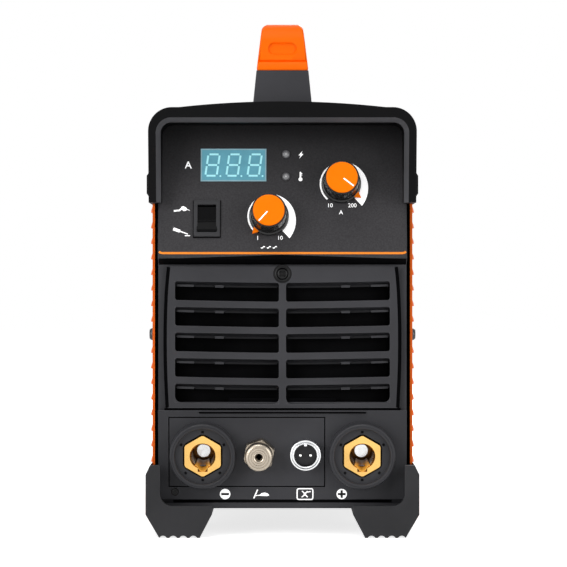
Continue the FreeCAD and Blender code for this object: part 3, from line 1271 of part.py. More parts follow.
strut_pad = pad(fan_frame, strut, "fan_strut_bar", s.hub_thickness, back=True)


def around(body, original, name, count):
    """Repeats a feature around the body's own Z axis."""
    pattern = body.newObject("PartDesign::PolarPattern", name)
    pattern.Originals = [original]
    pattern.Axis = (origin_feature(body, "Z_Axis"), [""])
    pattern.Angle = 360
    bind(pattern, "Occurrences", count)
    body.Tip = pattern
    return pattern


around(fan_frame, strut_pad, "fan_struts", s.strut_count)
axle_hole = sketch_on(fan_frame, "XY_Plane", "fan_axle_hole")
ring(axle_hole, 0, 0, s.axle_radius + s.run_gap)
pocket(fan_frame, axle_hole, "fan_bearing")
on_rear(fan_frame, 0, s.fan_height, fan_sunk)

hub_top = -s.hub_thickness - s.rotor_gap
hub_low = s.rotor_gap - s.fan_depth
fan_rotor = turned("fan_rotor", [
    (0, hub_low), (s.hub_radius, hub_low), (s.hub_radius, hub_top), (s.axle_radius, hub_top),
    (s.axle_radius, -s.run_gap), (0, -s.run_gap)])
vane = sketch_on(fan_rotor, "YZ_Plane", "fan_vane", s.hub_radius - s.blade_root)
half_chord = (hub_top - hub_low - 2 * s.rotor_gap) / 2
vane_middle = (hub_top + hub_low) / 2
sweep_y = half_chord / tangent(s.blade_pitch)
thick_y = s.blade_sheet / sine(s.blade_pitch) / 2
draw(vane, [(-sweep_y - thick_y, vane_middle - half_chord), (thick_y - sweep_y, vane_middle - half_chord),
            ("by", thick_y + s.blade_camber, vane_middle),
            (sweep_y + thick_y, vane_middle + half_chord), (sweep_y - thick_y, vane_middle + half_chord),
            ("by", s.blade_camber - thick_y, vane_middle)])
vane_pad = pad(fan_rotor, vane, "fan_blade", s.blade_radius - s.hub_radius + s.blade_root)
around(fan_rotor, vane_pad, "fan_blades", s.blade_count)
on_rear(fan_rotor, 0, s.fan_height, fan_sunk)

guard_half = s.guard_size / 2
fan_guard = slab("fan_guard", guard_half, guard_half, sized(0), s.guard_sheet)
guard_slots = sketch_on(fan_guard, "XY_Plane", "guard_slots", s.guard_sheet)
first = -s.guard_pitch * (s.guard_rows - 1) / 2
slot_end = fan_reach - 2 * s.cover_screw_head
for side in (-1, 1):
    rectangle(guard_slots, side * s.guard_bar / 2, first - s.guard_slot / 2,
              side * slot_end, first + s.guard_slot / 2)
slot_pair = pocket(fan_guard, guard_slots, "guard_slot")
stack(fan_guard, [slot_pair], "guard_rows", "Y_Axis", s.guard_pitch, s.guard_rows)
guard_holes = sketch_on(fan_guard, "XY_Plane", "guard_holes", s.guard_sheet)
for x, rise in fan_corners:
    ring(guard_holes, x, rise, s.fan_screw_radius + s.fit_gap)
pocket(fan_guard, guard_holes, "guard_screw_holes")
on_rear(fan_guard, 0, s.fan_height)
fan_bite = s.guard_sheet + wall + s.fan_depth - 2
group("fan_screws", [screw("fan_screw", x, rear_face_y + s.guard_sheet, s.fan_height + rise,
                           s.fan_screw_radius, fan_bite, s.cover_screw_head, s.cover_screw_proud, -90)
                     for x, rise in fan_corners])

for piece in rocker_switch("mains_switch", s.mains_bezel_width, s.mains_bezel_tall, s.mains_rocker_width,
                           s.mains_rocker_tall, s.mains_depth):
    on_rear(piece, s.mains_x, s.rear_row_height)

gland = hex_fitting("cable_gland", s.gland_flats, s.gland_hex,
                    [(0, -s.rear_stub), (s.gland_stub_radius, -s.rear_stub), (s.gland_stub_radius, 0),
                     (s.gland_dome_radius, 0), (s.gland_dome_radius, s.gland_dome), (0, s.gland_dome)],
                    s.gland_bore, -s.rear_stub)
on_rear(gland, s.gland_x, s.rear_row_height)

neck = s.barb_radius - s.barb_rise
barbs = []
barb_step = (s.inlet_length - s.inlet_hex - s.barb_width) / s.barb_count
for number in range(round(s.barb_count.value)):
    start = s.inlet_hex + barb_step * (number + 1) - s.barb_width
    barbs += [(neck, start), (s.barb_radius, start), (s.barb_radius, start + s.barb_width),
              (neck, start + s.barb_width)]
gas_inlet = hex_fitting("gas_inlet", s.inlet_flats, s.inlet_hex,
                        [(0, -s.rear_stub), (s.inlet_stub_radius, -s.rear_stub),
                         (s.inlet_stub_radius, 0), (neck, 0)] + barbs +
                        [(neck, s.inlet_length), (0, s.inlet_length)],
                        s.gas_bore, -s.rear_stub)
on_rear(gas_inlet, s.gas_x, s.inlet_height)


# ---------------------------------------------------------------------------------------------
# Inside: gas valve and hose, power board on its posts, heat sinks, capacitors and wound parts
# ---------------------------------------------------------------------------------------------

valve_y = rear_face_y - wall - s.valve_long
valve_low = s.inlet_height - s.valve_tall / 2
valve_block = block("valve_block", s.gas_x - s.valve_wide / 2, valve_y, valve_low,
                    s.valve_wide, s.valve_long, s.valve_tall)
valve_coil = block("valve_coil", s.gas_x - s.valve_coil / 2, valve_y + s.valve_coil / 2,
                   valve_low + s.valve_tall, s.valve_coil, s.valve_coil, s.valve_coil)
valve_port = rod("valve_port", s.gas_x, rear_face_y - wall - s.rear_stub, s.inlet_height,
                 s.inlet_stub_radius + s.fit_gap / 2, s.rear_stub + 1, -90)
keep("gas_valve", cut("gas_valve", fuse("valve_body", [valve_block, valve_coil]), [valve_port]))

stub_y = lower_face_y(s.gas_height) + s.gas_stub * cosine(s.lower_tilt)
stub_z = s.gas_height + s.gas_stub * sine(s.lower_tilt)
hose_end_y = stub_y + s.gas_stub_radius * sine(s.lower_tilt) + s.fit_gap / 2
hose_stops = [(valve_y, s.inlet_height), (valve_y - s.hose_drop, s.inlet_height),
              (valve_y - s.hose_drop, stub_z), (hose_end_y, stub_z)]


def hose_shape():
    """The hose from the valve down behind the board and forward to the outlet."""
    points = [V(s.gas_x.value, y.value, z.value) for y, z in hose_stops]
    bend = s.hose_bend.value
    edges = []
    start = points[0]
    for before, corner, after in zip(points, points[1:], points[2:]):
        back = (before - corner).normalize()
        onward = (after - corner).normalize()
        middle = corner + (back + onward) * (bend * (1 - math.sqrt(0.5)))
        edges.append(Part.LineSegment(start, corner + back * bend).toShape())
        edges.append(Part.Arc(corner + back * bend, middle, corner + onward * bend).toShape())
        start = corner + onward * bend
    edges.append(Part.LineSegment(start, points[-1]).toShape())
    around_hose = [math.radians(60 * turn) for turn in range(7)]
    section = Part.makePolygon([points[0] + V(math.cos(angle), 0, math.sin(angle)) * s.hose_radius.value
                                for angle in around_hose])
    return Part.Wire(edges).makePipeShell([section], True, False)


hose = doc.addObject("Part::Feature", "gas_hose")
hose.Shape = hose_shape()
keep("gas_hose", hose)

board_half_x = s.power_board_width / 2
power_board = block("power_board", -board_half_x, s.power_board_start, s.power_board_height,
                    s.power_board_width, s.power_board_length, s.board_sheet)
keep("power_board", power_board)
post_floor = s.tray_height + tray_sheet
posts = []
for side in (-1, 1):
    for y in (s.power_board_start + s.post_inset,
              s.power_board_start + s.power_board_length - s.post_inset):
        posts.append(peg("board_post", side * (board_half_x - s.post_inset), y, post_floor,
                         s.post_radius, s.power_board_height - post_floor, 6))
group("board_posts", posts)

deck = s.power_board_height + s.board_sheet
sinks = []
for side in (-1, 1):
    sink = new_body("heat_sink", node=False)
    comb = sketch_on(sink, "XZ_Plane", "sink_comb")
    near = s.sink_inner_x
    top = deck + s.sink_tall
    step = (s.sink_width - s.sink_fin) / (s.sink_fins - 1)
    corners = [(side * near, deck), (side * (near + s.sink_width), deck)]
    for number in reversed(range(round(s.sink_fins.value))):
        left = near + step * number
        corners += [(side * (left + s.sink_fin), deck + s.sink_base),
                    (side * (left + s.sink_fin), top), (side * left, top),
                    (side * left, deck + s.sink_base)]
    # the outer fins stand flush with the base's ends, so those two corners fall on its edge
    del corners[2], corners[-1]
    draw(comb, corners)
    pad(sink, comb, "sink_run", s.sink_length, both=True)
    sinks.append(sink)
group("heat_sinks", sinks)

bank_start = s.power_board_start + s.capacitor_radius + 2
group("capacitors", [peg("capacitor", 0, bank_start + s.capacitor_pitch * number, deck,
                         s.capacitor_radius, s.capacitor_tall, 16)
                     for number in range(round(s.capacitor_count.value))])

core_x = s.fit_gap + s.post_radius
core = block("core", core_x, -s.core_deep / 2, post_floor, s.core_wide, s.core_deep, s.core_tall)
coil = block("coil", core_x + s.core_wide / 4, -s.core_deep / 2 - s.coil_bulge, post_floor + s.coil_lift,
             s.core_wide / 2, s.core_deep + 2 * s.coil_bulge, s.core_tall - 2 * s.coil_lift)
keep("main_transformer", fuse("main_transformer", [core, coil]))
choke_x = s.gas_x - s.hose_radius - s.choke_gap - s.choke_radius
keep("output_choke", cut("output_choke", peg("choke_ring", choke_x, 0, post_floor, s.choke_radius,
                                             s.choke_tall, 16),
                         [peg("choke_hole", choke_x, 0, post_floor - 1, s.choke_hole,
                              s.choke_tall + 2, 16)]))


# ---------------------------------------------------------------------------------------------
# Check every object and write the nodes
# ---------------------------------------------------------------------------------------------

doc.recompute()
failed = [thing.Name for thing in doc.Objects if {"Invalid", "Error"} & set(thing.State)]
if failed:
    raise RuntimeError("not built: " + ", ".join(failed))
os.makedirs("parts", exist_ok=True)
for label, piece in parts.items():
    shape = piece.Shape
    if shape.isNull() or not shape.isValid() or not shape.Solids:
        raise RuntimeError(label + " has no valid solid")
    shape.exportStep(f"parts/{label}.step")
print(len(parts), "nodes written")
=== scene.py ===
import json
import math

import bmesh
import bpy
from mathutils import Matrix, Vector
from mathutils.bvhtree import BVHTree


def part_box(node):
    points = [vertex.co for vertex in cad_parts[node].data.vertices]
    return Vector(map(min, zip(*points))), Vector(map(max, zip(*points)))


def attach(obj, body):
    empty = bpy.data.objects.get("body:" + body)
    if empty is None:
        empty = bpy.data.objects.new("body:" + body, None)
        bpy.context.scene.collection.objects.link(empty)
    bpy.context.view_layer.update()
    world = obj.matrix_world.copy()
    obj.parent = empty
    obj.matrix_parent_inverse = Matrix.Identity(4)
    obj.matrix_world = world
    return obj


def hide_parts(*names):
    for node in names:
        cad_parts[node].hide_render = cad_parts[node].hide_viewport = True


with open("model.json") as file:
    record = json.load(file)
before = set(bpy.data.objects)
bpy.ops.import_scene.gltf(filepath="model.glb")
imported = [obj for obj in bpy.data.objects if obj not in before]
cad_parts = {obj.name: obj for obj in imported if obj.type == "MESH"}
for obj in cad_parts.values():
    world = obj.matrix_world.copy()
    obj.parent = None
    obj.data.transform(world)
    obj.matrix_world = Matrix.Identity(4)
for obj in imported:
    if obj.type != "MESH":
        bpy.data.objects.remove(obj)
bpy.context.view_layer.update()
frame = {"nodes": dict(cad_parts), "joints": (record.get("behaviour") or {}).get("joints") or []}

# ------------------------------------------------------------------------------------------------
# Studio.  A white table runs back to a white wall.  Two soft boxes stand at the machine's front
# corners, one hangs over it and one lights its back, and the camera is level with the grille.
# ------------------------------------------------------------------------------------------------

scene = bpy.context.scene
scene.view_settings.view_transform = "Standard"

PANEL_Y, CAMERA_AWAY, CAMERA_SIDE, CAMERA_HEIGHT = -0.18, 1.4, 0.0006, 0.1442
VIEW_SPAN, FILM_WIDE = 0.3232, 36.0
WHITE, TABLE_GREY = (1.0, 1.0, 1.0, 1.0), (0.82, 0.82, 0.82, 1.0)
TABLE_GLOW, ROOM_LIGHT, TABLE_REACH = 0.76, 0.32, 6


def stood(name, data, spot=(0, 0, 0), turned=(0, 0, 0)):
    """Puts data in the scene as an object."""
    thing = bpy.data.objects.new(name, data)
    thing.location, thing.rotation_euler = spot, turned
    scene.collection.objects.link(thing)
    return thing


eye = bpy.data.cameras.new("studio_camera")
eye.sensor_width, eye.lens = FILM_WIDE, FILM_WIDE * CAMERA_AWAY / VIEW_SPAN
eye.clip_start, eye.clip_end = 0.05, 30.0
scene.camera = stood("studio_camera", eye, (CAMERA_SIDE, PANEL_Y - CAMERA_AWAY, CAMERA_HEIGHT),
                     (math.radians(90.0), 0.0, 0.0))


def wired(tree, kind, given=None, **own):
    """Adds a node, sets its own properties, and fills or links its inputs by their names."""
    made = tree.nodes.new(kind)
    for name, value in own.items():
        setattr(made, name, value)
    for name, value in (given or {}).items():
        if isinstance(value, bpy.types.NodeSocket):
            tree.links.new(value, made.inputs[name])
        else:
            made.inputs[name].default_value = value
    return made


def maths(tree, operation, first, second):
    """The result of one operation on two numbers."""
    return wired(tree, "ShaderNodeMath", {0: first, 1: second}, operation=operation).outputs[0]


def seen_directly(tree):
    """1 for a ray from the camera, off a glossy surface or through glass, and 0 for any other."""
    rays = wired(tree, "ShaderNodeLightPath").outputs
    return maths(tree, "MAXIMUM", rays["Is Transmission Ray"],
                 maths(tree, "MAXIMUM", rays["Is Camera Ray"], rays["Is Glossy Ray"]))


def bare_tree(owner):
    """The owner's own node tree, emptied."""
    owner.use_nodes = True
    owner.node_tree.nodes.clear()
    return owner.node_tree


table_mesh = bpy.data.meshes.new("table")
table_mesh.from_pydata([(TABLE_REACH * x, TABLE_REACH * y, 0) for x, y in
                        ((-1, -1), (1, -1), (1, 1), (-1, 1))], [], [(0, 1, 2, 3)])
table = stood("table", table_mesh)
table_paint = bpy.data.materials.new("table_white")
table_tree = bare_tree(table_paint)
table_matt = wired(table_tree, "ShaderNodeBsdfDiffuse", {"Color": TABLE_GREY})
table_light = wired(table_tree, "ShaderNodeEmission", {
    "Color": WHITE, "Strength": maths(table_tree, "MULTIPLY", seen_directly(table_tree),
                                      TABLE_GLOW)})
table_both = wired(table_tree, "ShaderNodeAddShader",
                   {0: table_matt.outputs[0], 1: table_light.outputs[0]})
wired(table_tree, "ShaderNodeOutputMaterial", {"Surface": table_both.outputs[0]})
table_mesh.materials.append(table_paint)

for name, spot, aim, width, height, watts in (
        ("key_box", (-1.2, -1.5, 0.55), (0, -0.1, 0.14), 0.9, 0.9, 14.0),
        ("fill_box", (1.3, -1.4, 0.45), (0, -0.1, 0.14), 0.9, 0.9, 10.5),
        ("top_box", (-0.25, -0.8, 1.55), (0, -0.1, 0.2), 1.2, 1.0, 9.5),
        ("back_box", (0.6, 1.7, 1.2), (0, 0.1, 0.15), 1.0, 0.8, 16.0)):
    lamp = bpy.data.lights.new(name, "AREA")
    lamp.shape, lamp.size, lamp.size_y, lamp.energy = "RECTANGLE", width, height, watts
    stood(name, lamp, spot, (Vector(aim) - Vector(spot)).to_track_quat("-Z", "Y").to_euler())

sky = bpy.data.worlds.new("studio_white")
scene.world = sky
sky_tree = bare_tree(sky)
sky_level = wired(sky_tree, "ShaderNodeMapRange",
                  {"Value": seen_directly(sky_tree), "To Min": ROOM_LIGHT, "To Max": 1.0})
sky_shell = wired(sky_tree, "ShaderNodeBackground",
                  {"Color": WHITE, "Strength": sky_level.outputs["Result"]})
wired(sky_tree, "ShaderNodeOutputWorld", {"Surface": sky_shell.outputs[0]})

# ------------------------------------------------------------------------------------------------
# Case ends.  The front frame carries every control and socket, the rear frame the fan and mains
# switch.  Both are glass-filled nylon mouldings with a spark-eroded skin, screwed to the cover.
# ------------------------------------------------------------------------------------------------

SHARP, MERGE, FLAT = 32.0, 0.000004, math.radians(0.05)
MASK_LOW, MASK_HIGH, GRAIN_DEEP = 0.35, 0.65, 0.00006


def printed(code):
    """A printed colour code as the linear colour that a shader takes."""
    parts = [int(code[at:at + 2], 16) / 255 for at in (0, 2, 4)]
    return [part / 12.92 if part <= 0.04045 else ((part + 0.055) / 1.055) ** 2.4
            for part in parts]


def effect(name, dials, results):
    """An empty shader group: its tree, dials, result sockets and place on the piece."""
    tree = bpy.data.node_groups.new(name, "ShaderNodeTree")
    for label, start in dials.items():
        tree.interface.new_socket(label, in_out="INPUT",
                                  socket_type="NodeSocketFloat").default_value = start
    for label in results:
        tree.interface.new_socket(label, in_out="OUTPUT", socket_type="NodeSocketFloat")
    return (tree, wired(tree, "NodeGroupInput").outputs, wired(tree, "NodeGroupOutput").inputs,
            wired(tree, "ShaderNodeTexCoord").outputs["Object"])


def cloud(tree, where, scale, detail=3.0, rough=0.5, bend=0.0):
    """Soft noise over the piece, as a number around one half."""
    return wired(tree, "ShaderNodeTexNoise", {
        "Vector": where, "Scale": scale, "Detail": detail, "Roughness": rough,
        "Distortion": bend}).outputs["Fac"]


def skin_group(name, dials, **clouds):
    """A surface effect that puts out height, shade and gloss, each from one cloud."""
    tree, dial, results, place = effect(name, dials, clouds)
    for label, (scale, *grade) in clouds.items():
        scale = dial[scale] if isinstance(scale, str) else scale
        tree.links.new(cloud(tree, place, scale, *grade), results[label])
    return tree


eroded_skin = skin_group("eroded_skin", {"Grain": 1600.0, "Patches": 18.0},
                         Height=("Grain", 3.0, 0.6), Shade=("Patches", 4.0),
                         Gloss=(55.0, 6.0, 0.55, 1.4))

worn_edges, worn_dial, worn_out, worn_place = effect("worn_edges", {"Reach": 0.0009}, ["Wear"])
worn_soft = wired(worn_edges, "ShaderNodeBevel", {"Radius": worn_dial["Reach"]}, samples=4)
worn_dot = wired(worn_edges, "ShaderNodeVectorMath", {
    0: worn_soft.outputs["Normal"],
    1: wired(worn_edges, "ShaderNodeNewGeometry").outputs["Normal"]}, operation="DOT_PRODUCT")
worn_broken = maths(worn_edges, "MULTIPLY",
                    maths(worn_edges, "SUBTRACT", 1.0, worn_dot.outputs["Value"]),
                    cloud(worn_edges, worn_place, 120.0, 5.0, 0.6))
worn_mask = wired(worn_edges, "ShaderNodeMapRange",
                  {"Value": worn_broken, "From Min": 0.02, "From Max": 0.16})
worn_edges.links.new(worn_mask.outputs["Result"], worn_out["Wear"])


def shaded(tree, mask, colour, spread):
    """A colour that drifts darker and lighter with a mask."""
    ramp = wired(tree, "ShaderNodeValToRGB", {"Fac": mask})
    low, high = ramp.color_ramp.elements
    low.position, low.color = MASK_LOW, (*(part * (1 - spread) for part in colour), 1.0)
    high.position, high.color = MASK_HIGH, (*(min(1.0, part * (1 + spread)) for part in colour),
                                            1.0)
    return ramp.outputs["Color"]


def finish_of(name, code, skin, dials, rough, spread, relief=None, wear=None, **own):
    """A material: its skin group drifts the colour, the gloss and the height of the surface."""
    paint = bpy.data.materials.new(name)
    tree = bare_tree(paint)
    body = wired(tree, "ShaderNodeBsdfPrincipled",
                 {label.replace("_", " "): value for label, value in own.items()})
    wired(tree, "ShaderNodeOutputMaterial", {"Surface": body.outputs["BSDF"]})
    grain = wired(tree, "ShaderNodeGroup", dials, node_tree=skin).outputs
    base = shaded(tree, grain["Shade"], printed(code), spread)
    if wear:
        edge = wired(tree, "ShaderNodeGroup", node_tree=worn_edges)
        base = wired(tree, "ShaderNodeMix",
                     {"Factor": edge.outputs["Wear"], "A": base, "B": (*printed(wear), 1.0)},
                     data_type="RGBA").outputs["Result"]
    tree.links.new(base, body.inputs["Base Color"])
    gloss = wired(tree, "ShaderNodeMapRange", {
        "Value": grain["Gloss"], "From Min": MASK_LOW, "From Max": MASK_HIGH,
        "To Min": rough[0], "To Max": rough[1]})
    tree.links.new(gloss.outputs["Result"], body.inputs["Roughness"])
    if relief:
        bump = wired(tree, "ShaderNodeBump", {"Height": grain["Height"], "Strength": relief[0],
                                              "Distance": relief[1]})
        tree.links.new(bump.outputs["Normal"], body.inputs["Normal"])
    return paint


def moulded(name, code, rough, grain=1600.0, strength=0.35, spread=0.16, shine=0.15, wear=None):
    """Moulded plastic: an even grain, faint changes of shade, rubbed places and paler edges."""
    return finish_of(name, code, eroded_skin, {"Grain": grain}, (rough - 0.05, rough + 0.07),
                     spread, (strength, GRAIN_DEEP), wear, Specular_IOR_Level=shine)


def mesh_of(name, shape):
    """A mesh out of a bmesh, which is used up."""
    mesh = bpy.data.meshes.new(name)
    shape.to_mesh(mesh)
    shape.free()
    return mesh


def settled(carrier):
    """The plain mesh of an object with its modifiers done.  The object is used up."""
    graph = bpy.context.evaluated_depsgraph_get()
    mesh = bpy.data.meshes.new_from_object(carrier.evaluated_get(graph))
    bpy.data.objects.remove(carrier)
    return mesh


def rounded(carrier, edge, steps, smooth=SHARP):
    """Rounds each edge of a piece that turns by more than smooth degrees."""
    round_off = carrier.modifiers.new("rounded_edges", "BEVEL")
    round_off.width, round_off.segments = edge, steps
    round_off.limit_method, round_off.angle_limit = "ANGLE", math.radians(smooth)
    return round_off


def outward_faces(shape):
    """Turns the faces of closed shapes outwards."""
    bmesh.ops.recalc_face_normals(shape, faces=shape.faces)
    return shape


def piece_of(name, shape, finish, nodes=(), body="case", place=None, smooth=SHARP,
             edge=0.0, steps=2, thick=0.0):
    """Makes a finished piece, hangs it on its body and hides the imported nodes it stands for.  A
    thick one is an open sheet.
    """
    if isinstance(shape, bmesh.types.BMesh):
        shape = mesh_of(name, shape if thick else outward_faces(shape))
    shape.name = name
    if place is not None:
        shape.transform(place)
    shape.polygons.foreach_set("use_smooth", [True] * len(shape.polygons))
    shape.set_sharp_from_angle(angle=math.radians(smooth))
    shape.materials.clear()
    shape.materials.append(finish)
    piece = stood(name, shape)
    if thick:
        wall = piece.modifiers.new("sheet", "SOLIDIFY")
        wall.thickness, wall.offset = thick, -1.0
    if edge:
        rounded(piece, edge, steps, smooth).harden_normals = True
    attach(piece, body)
    if nodes:
        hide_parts(*nodes)
    return piece


def dressed(node, finish, edge=0.0004, steps=2, body="case", cutter=None):
    """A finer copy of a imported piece: its faces joined, its flats smooth, its edges rounded."""
    name = node + "_finished"
    shape = bmesh.new()
    shape.from_mesh(frame["nodes"][node].data)
    bmesh.ops.remove_doubles(shape, verts=shape.verts, dist=MERGE)
    bmesh.ops.dissolve_limit(shape, angle_limit=FLAT, verts=shape.verts, edges=shape.edges)
    mesh = mesh_of(name, shape)
    if cutter is None:
        return piece_of(name, mesh, finish, [node], body, edge=edge, steps=steps)
    work, tool = stood("work", mesh), stood("tool", mesh_of("tool", cutter))
    rounded(work, edge, steps)
    cut = work.modifiers.new("cut", "BOOLEAN")
    cut.object, cut.operation, cut.solver = tool, "DIFFERENCE", "EXACT"
    mesh = settled(work)
    bpy.data.objects.remove(tool)
    piece = piece_of(name, mesh, finish, [node], body)
    piece.modifiers.new("flat_normals", "WEIGHTED_NORMAL").keep_sharp = True
    return piece


case_plastic = moulded("case_plastic", "37373a", 0.5, wear="4b4b4e")
dressed("front_frame", case_plastic, 0.0005, 3)
dressed("rear_frame", case_plastic, 0.0005, 3)

# ------------------------------------------------------------------------------------------------
# Base tray and side cover.  The tray is folded steel in black powder coat.  The cover is one sheet
# of 1 mm steel in orange powder coat, lanced into two banks of louvres on each side, then folded
# over both sides and the roof with a narrow flange at each end.
# ------------------------------------------------------------------------------------------------

PEEL_DEEP = 0.00012

powder_peel = skin_group("powder_peel", {"Peel": 420.0}, Height=("Peel", 1.5),
                         Shade=(9.0, 3.0), Gloss=(70.0, 5.0))


def coated(name, code, rough, shine, wear=None):
    """Powder coat on steel: orange peel, a slow drift of shade and slightly uneven gloss."""
    return finish_of(name, code, powder_peel, {}, (rough - 0.04, rough + 0.06), 0.06,
                     (0.25, PEEL_DEEP), wear, Specular_IOR_Level=shine)


def grower(name, dials):
    """An empty geometry tree with the given inputs, which takes a shape and hands one back."""
    tree = bpy.data.node_groups.new(name, "GeometryNodeTree")
    for label, kind in [("Shape", "Geometry"), *dials, ("Finish", "Material")]:
        tree.interface.new_socket(label, in_out="INPUT", socket_type="NodeSocket" + kind)
    tree.interface.new_socket("Shape", in_out="OUTPUT", socket_type="NodeSocketGeometry")
    return tree, wired(tree, "NodeGroupInput").outputs


def ending(tree, shape, finish):
    """The end of a geometry tree: real faces instead of instances, in their material."""
    real = wired(tree, "GeometryNodeRealizeInstances", {"Geometry": shape})
    painted = wired(tree, "GeometryNodeSetMaterial",
                    {"Geometry": real.outputs["Geometry"], "Material": finish})
    wired(tree, "NodeGroupOutput", {"Shape": painted.outputs["Geometry"]})


def in_a_row(tree, shape, count, step):
    """Copies of a shape in a straight row."""
    line = wired(tree, "GeometryNodeMeshLine", {"Count": count, "Offset": step}, mode="OFFSET")
    return wired(tree, "GeometryNodeInstanceOnPoints",
                 {"Points": line.outputs["Mesh"], "Instance": shape}).outputs["Instances"]


rows_of, rows_dial = grower("rows_of", [("Step", "Vector"), ("Count", "Int"),
                                        ("Row Step", "Vector"), ("Rows", "Int")])
ending(rows_of, in_a_row(rows_of, in_a_row(rows_of, rows_dial["Shape"], rows_dial["Count"],
                                           rows_dial["Step"]),
                         rows_dial["Rows"], rows_dial["Row Step"]), rows_dial["Finish"])


def grown(shape, tree, dials):
    """Runs a geometry tree on a shape with the given inputs and hands back the plain mesh."""
    carrier = stood("carrier", mesh_of("seed", shape))
    growth = carrier.modifiers.new("growth", "NODES")
    growth.node_group = tree
    for socket in tree.interface.items_tree:
        if socket.in_out == "INPUT" and socket.name in dials:
            growth[socket.identifier] = dials[socket.name]
    return settled(carrier)


def joined(*sources):
    """One bmesh out of meshes and bmeshes."""
    whole = bmesh.new()
    for source in sources:
        whole.from_mesh(mesh_of("passing", source) if isinstance(source, bmesh.types.BMesh)
                        else source)
    return whole


def patch(shape, lines_a, lines_b, spot):
    """A grid of faces over two sets of lines, where spot turns a pair of lines into a point."""
    points = [[shape.verts.new(spot(a, b)) for b in lines_b] for a in lines_a]
    for row, ahead in zip(points, points[1:]):
        for b in range(len(lines_b) - 1):
            shape.faces.new((row[b], ahead[b], ahead[b + 1], row[b + 1]))


dressed("base_tray", coated("tray_paint", "1c1c1e", 0.5, 0.2))

orange_paint = coated("orange_paint", "f06408", 0.36, 0.2, "f27a28")
cover_low, cover_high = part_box("side_cover")
PROUD, PITCH, RISE, BANKS, LOUVRES, FIRST_LIP = 0.0023, 0.0091, 0.006, 0.168, 17, 0.040
LOUVRE_HALF, LOUVRE_TAPER, BANK_HALF, FOLD, LIP, NEAR = 0.065, 0.0075, 0.068, 0.012, 0.0014, 1e-5
cover_half, cover_end = cover_high.x - PROUD, cover_high.y
cover_top, cover_foot = cover_high.z, cover_low.z
along = [0.0, 0.020, 0.040, 0.0575, 0.0605, 0.0628, 0.0642, LOUVRE_HALF, BANK_HALF]
along = [-step for step in reversed(along[1:])] + along
upward = [-0.0023, -0.0016, -0.0002, 0.0, 0.0004, 0.0011, 0.002, 0.0032, 0.0046, RISE, 0.0068]


def pressed(u, v):
    """How far the lanced sheet stands proud at u along the louvre and v above its lip."""
    if v < 0 or v > RISE or abs(u) > LOUVRE_HALF:
        return 0.0
    into_end = max(0.0, abs(u) - LOUVRE_HALF + LOUVRE_TAPER) / LOUVRE_TAPER
    return (PROUD * math.sqrt(max(0.0, 1 - into_end ** 2))
            * math.sin(math.pi / 2 * (RISE - v) / RISE))


def in_slit(face):
    """Whether a face lies in the cut under a louvre's lip."""
    return all(abs(corner.co.y + BANKS / 2) < LOUVRE_HALF + NEAR
               and -0.0002 - NEAR < corner.co.z - FIRST_LIP < NEAR for corner in face.verts)


louvre = bmesh.new()
patch(louvre, along, upward,
      lambda u, v: (cover_half + pressed(u, v), u - BANKS / 2, FIRST_LIP + v))
bmesh.ops.delete(louvre, geom=[face for face in louvre.faces if in_slit(face)],
                 context="FACES_ONLY")
banks = grown(louvre, rows_of, {"Step": (0, 0, PITCH), "Count": LOUVRES, "Finish": orange_paint,
                                "Row Step": (0, BANKS, 0), "Rows": 2})
bank_lines = sorted({round(FIRST_LIP + row * PITCH + v, 7) for row in range(LOUVRES)
                     for v in upward})
inner_lines = [u - BANKS / 2 for u in along] + [u + BANKS / 2 for u in along]
side_lines = [-cover_end, -0.160] + inner_lines + [0.160, cover_end]
bank_far, bank_near = BANKS / 2 + BANK_HALF, BANKS / 2 - BANK_HALF
foot_lines, neck = [cover_foot, 0.028], 0.211
bend = [(cover_half - FOLD + FOLD * math.cos(turn), cover_top - FOLD + FOLD * math.sin(turn))
        for turn in (math.pi / 2 * step / 10 for step in range(11))]
roof = bend + [(0.03, cover_top), (0.0, cover_top)]
surround = bmesh.new()
for low, high in ((-cover_end, -bank_far), (-bank_near, bank_near), (bank_far, cover_end)):
    patch(surround, [line for line in side_lines if low - NEAR < line < high + NEAR], bank_lines,
          lambda y, z: (cover_half, y, z))
for levels in (foot_lines + bank_lines[:1], [bank_lines[-1], neck, cover_top - FOLD]):
    patch(surround, side_lines, levels, lambda y, z: (cover_half, y, z))
patch(surround, side_lines, roof, lambda y, spot: (spot[0], y, spot[1]))


def flange(x, z):
    """The inner edge of the end flange beside a point of the sheet's end."""
    if z <= cover_top - FOLD:
        return x - LIP, z
    if x < cover_half - FOLD:
        return x, z - LIP
    share = (FOLD - LIP) / FOLD
    return (cover_half - FOLD + (x - cover_half + FOLD) * share,
            cover_top - FOLD + (z - cover_top + FOLD) * share)


rim = [(cover_half, z) for z in foot_lines + bank_lines + [neck]] + roof
for end in (-1, 1):
    patch(surround, [((x, z), flange(x, z)) for x, z in rim], (0, 1) if end > 0 else (1, 0),
          lambda pair, which: (pair[which][0], end * cover_end, pair[which][1]))
half_cover = joined(banks, surround)
other_half = half_cover.copy()
bmesh.ops.rotate(other_half, matrix=Matrix.Rotation(math.pi, 3, "Z"), verts=other_half.verts)
cover = joined(half_cover, other_half)
bmesh.ops.remove_doubles(cover, verts=cover.verts, dist=0.00002)
outward_faces(cover)
if sum(face.normal.x * face.calc_center_median().x for face in cover.faces) < 0:
    bmesh.ops.reverse_faces(cover, faces=cover.faces)
piece_of("side_cover_sheet", cover, orange_paint, ["side_cover"],
         smooth=40.0, thick=0.001, edge=0.0002, steps=1)

# ------------------------------------------------------------------------------------------------
# Feet.  Four hollow mouldings of hard black rubber under the tray's corners.  Each has a ribbed
# cheek that wraps the corner, and is held by one screw from below.
# ------------------------------------------------------------------------------------------------

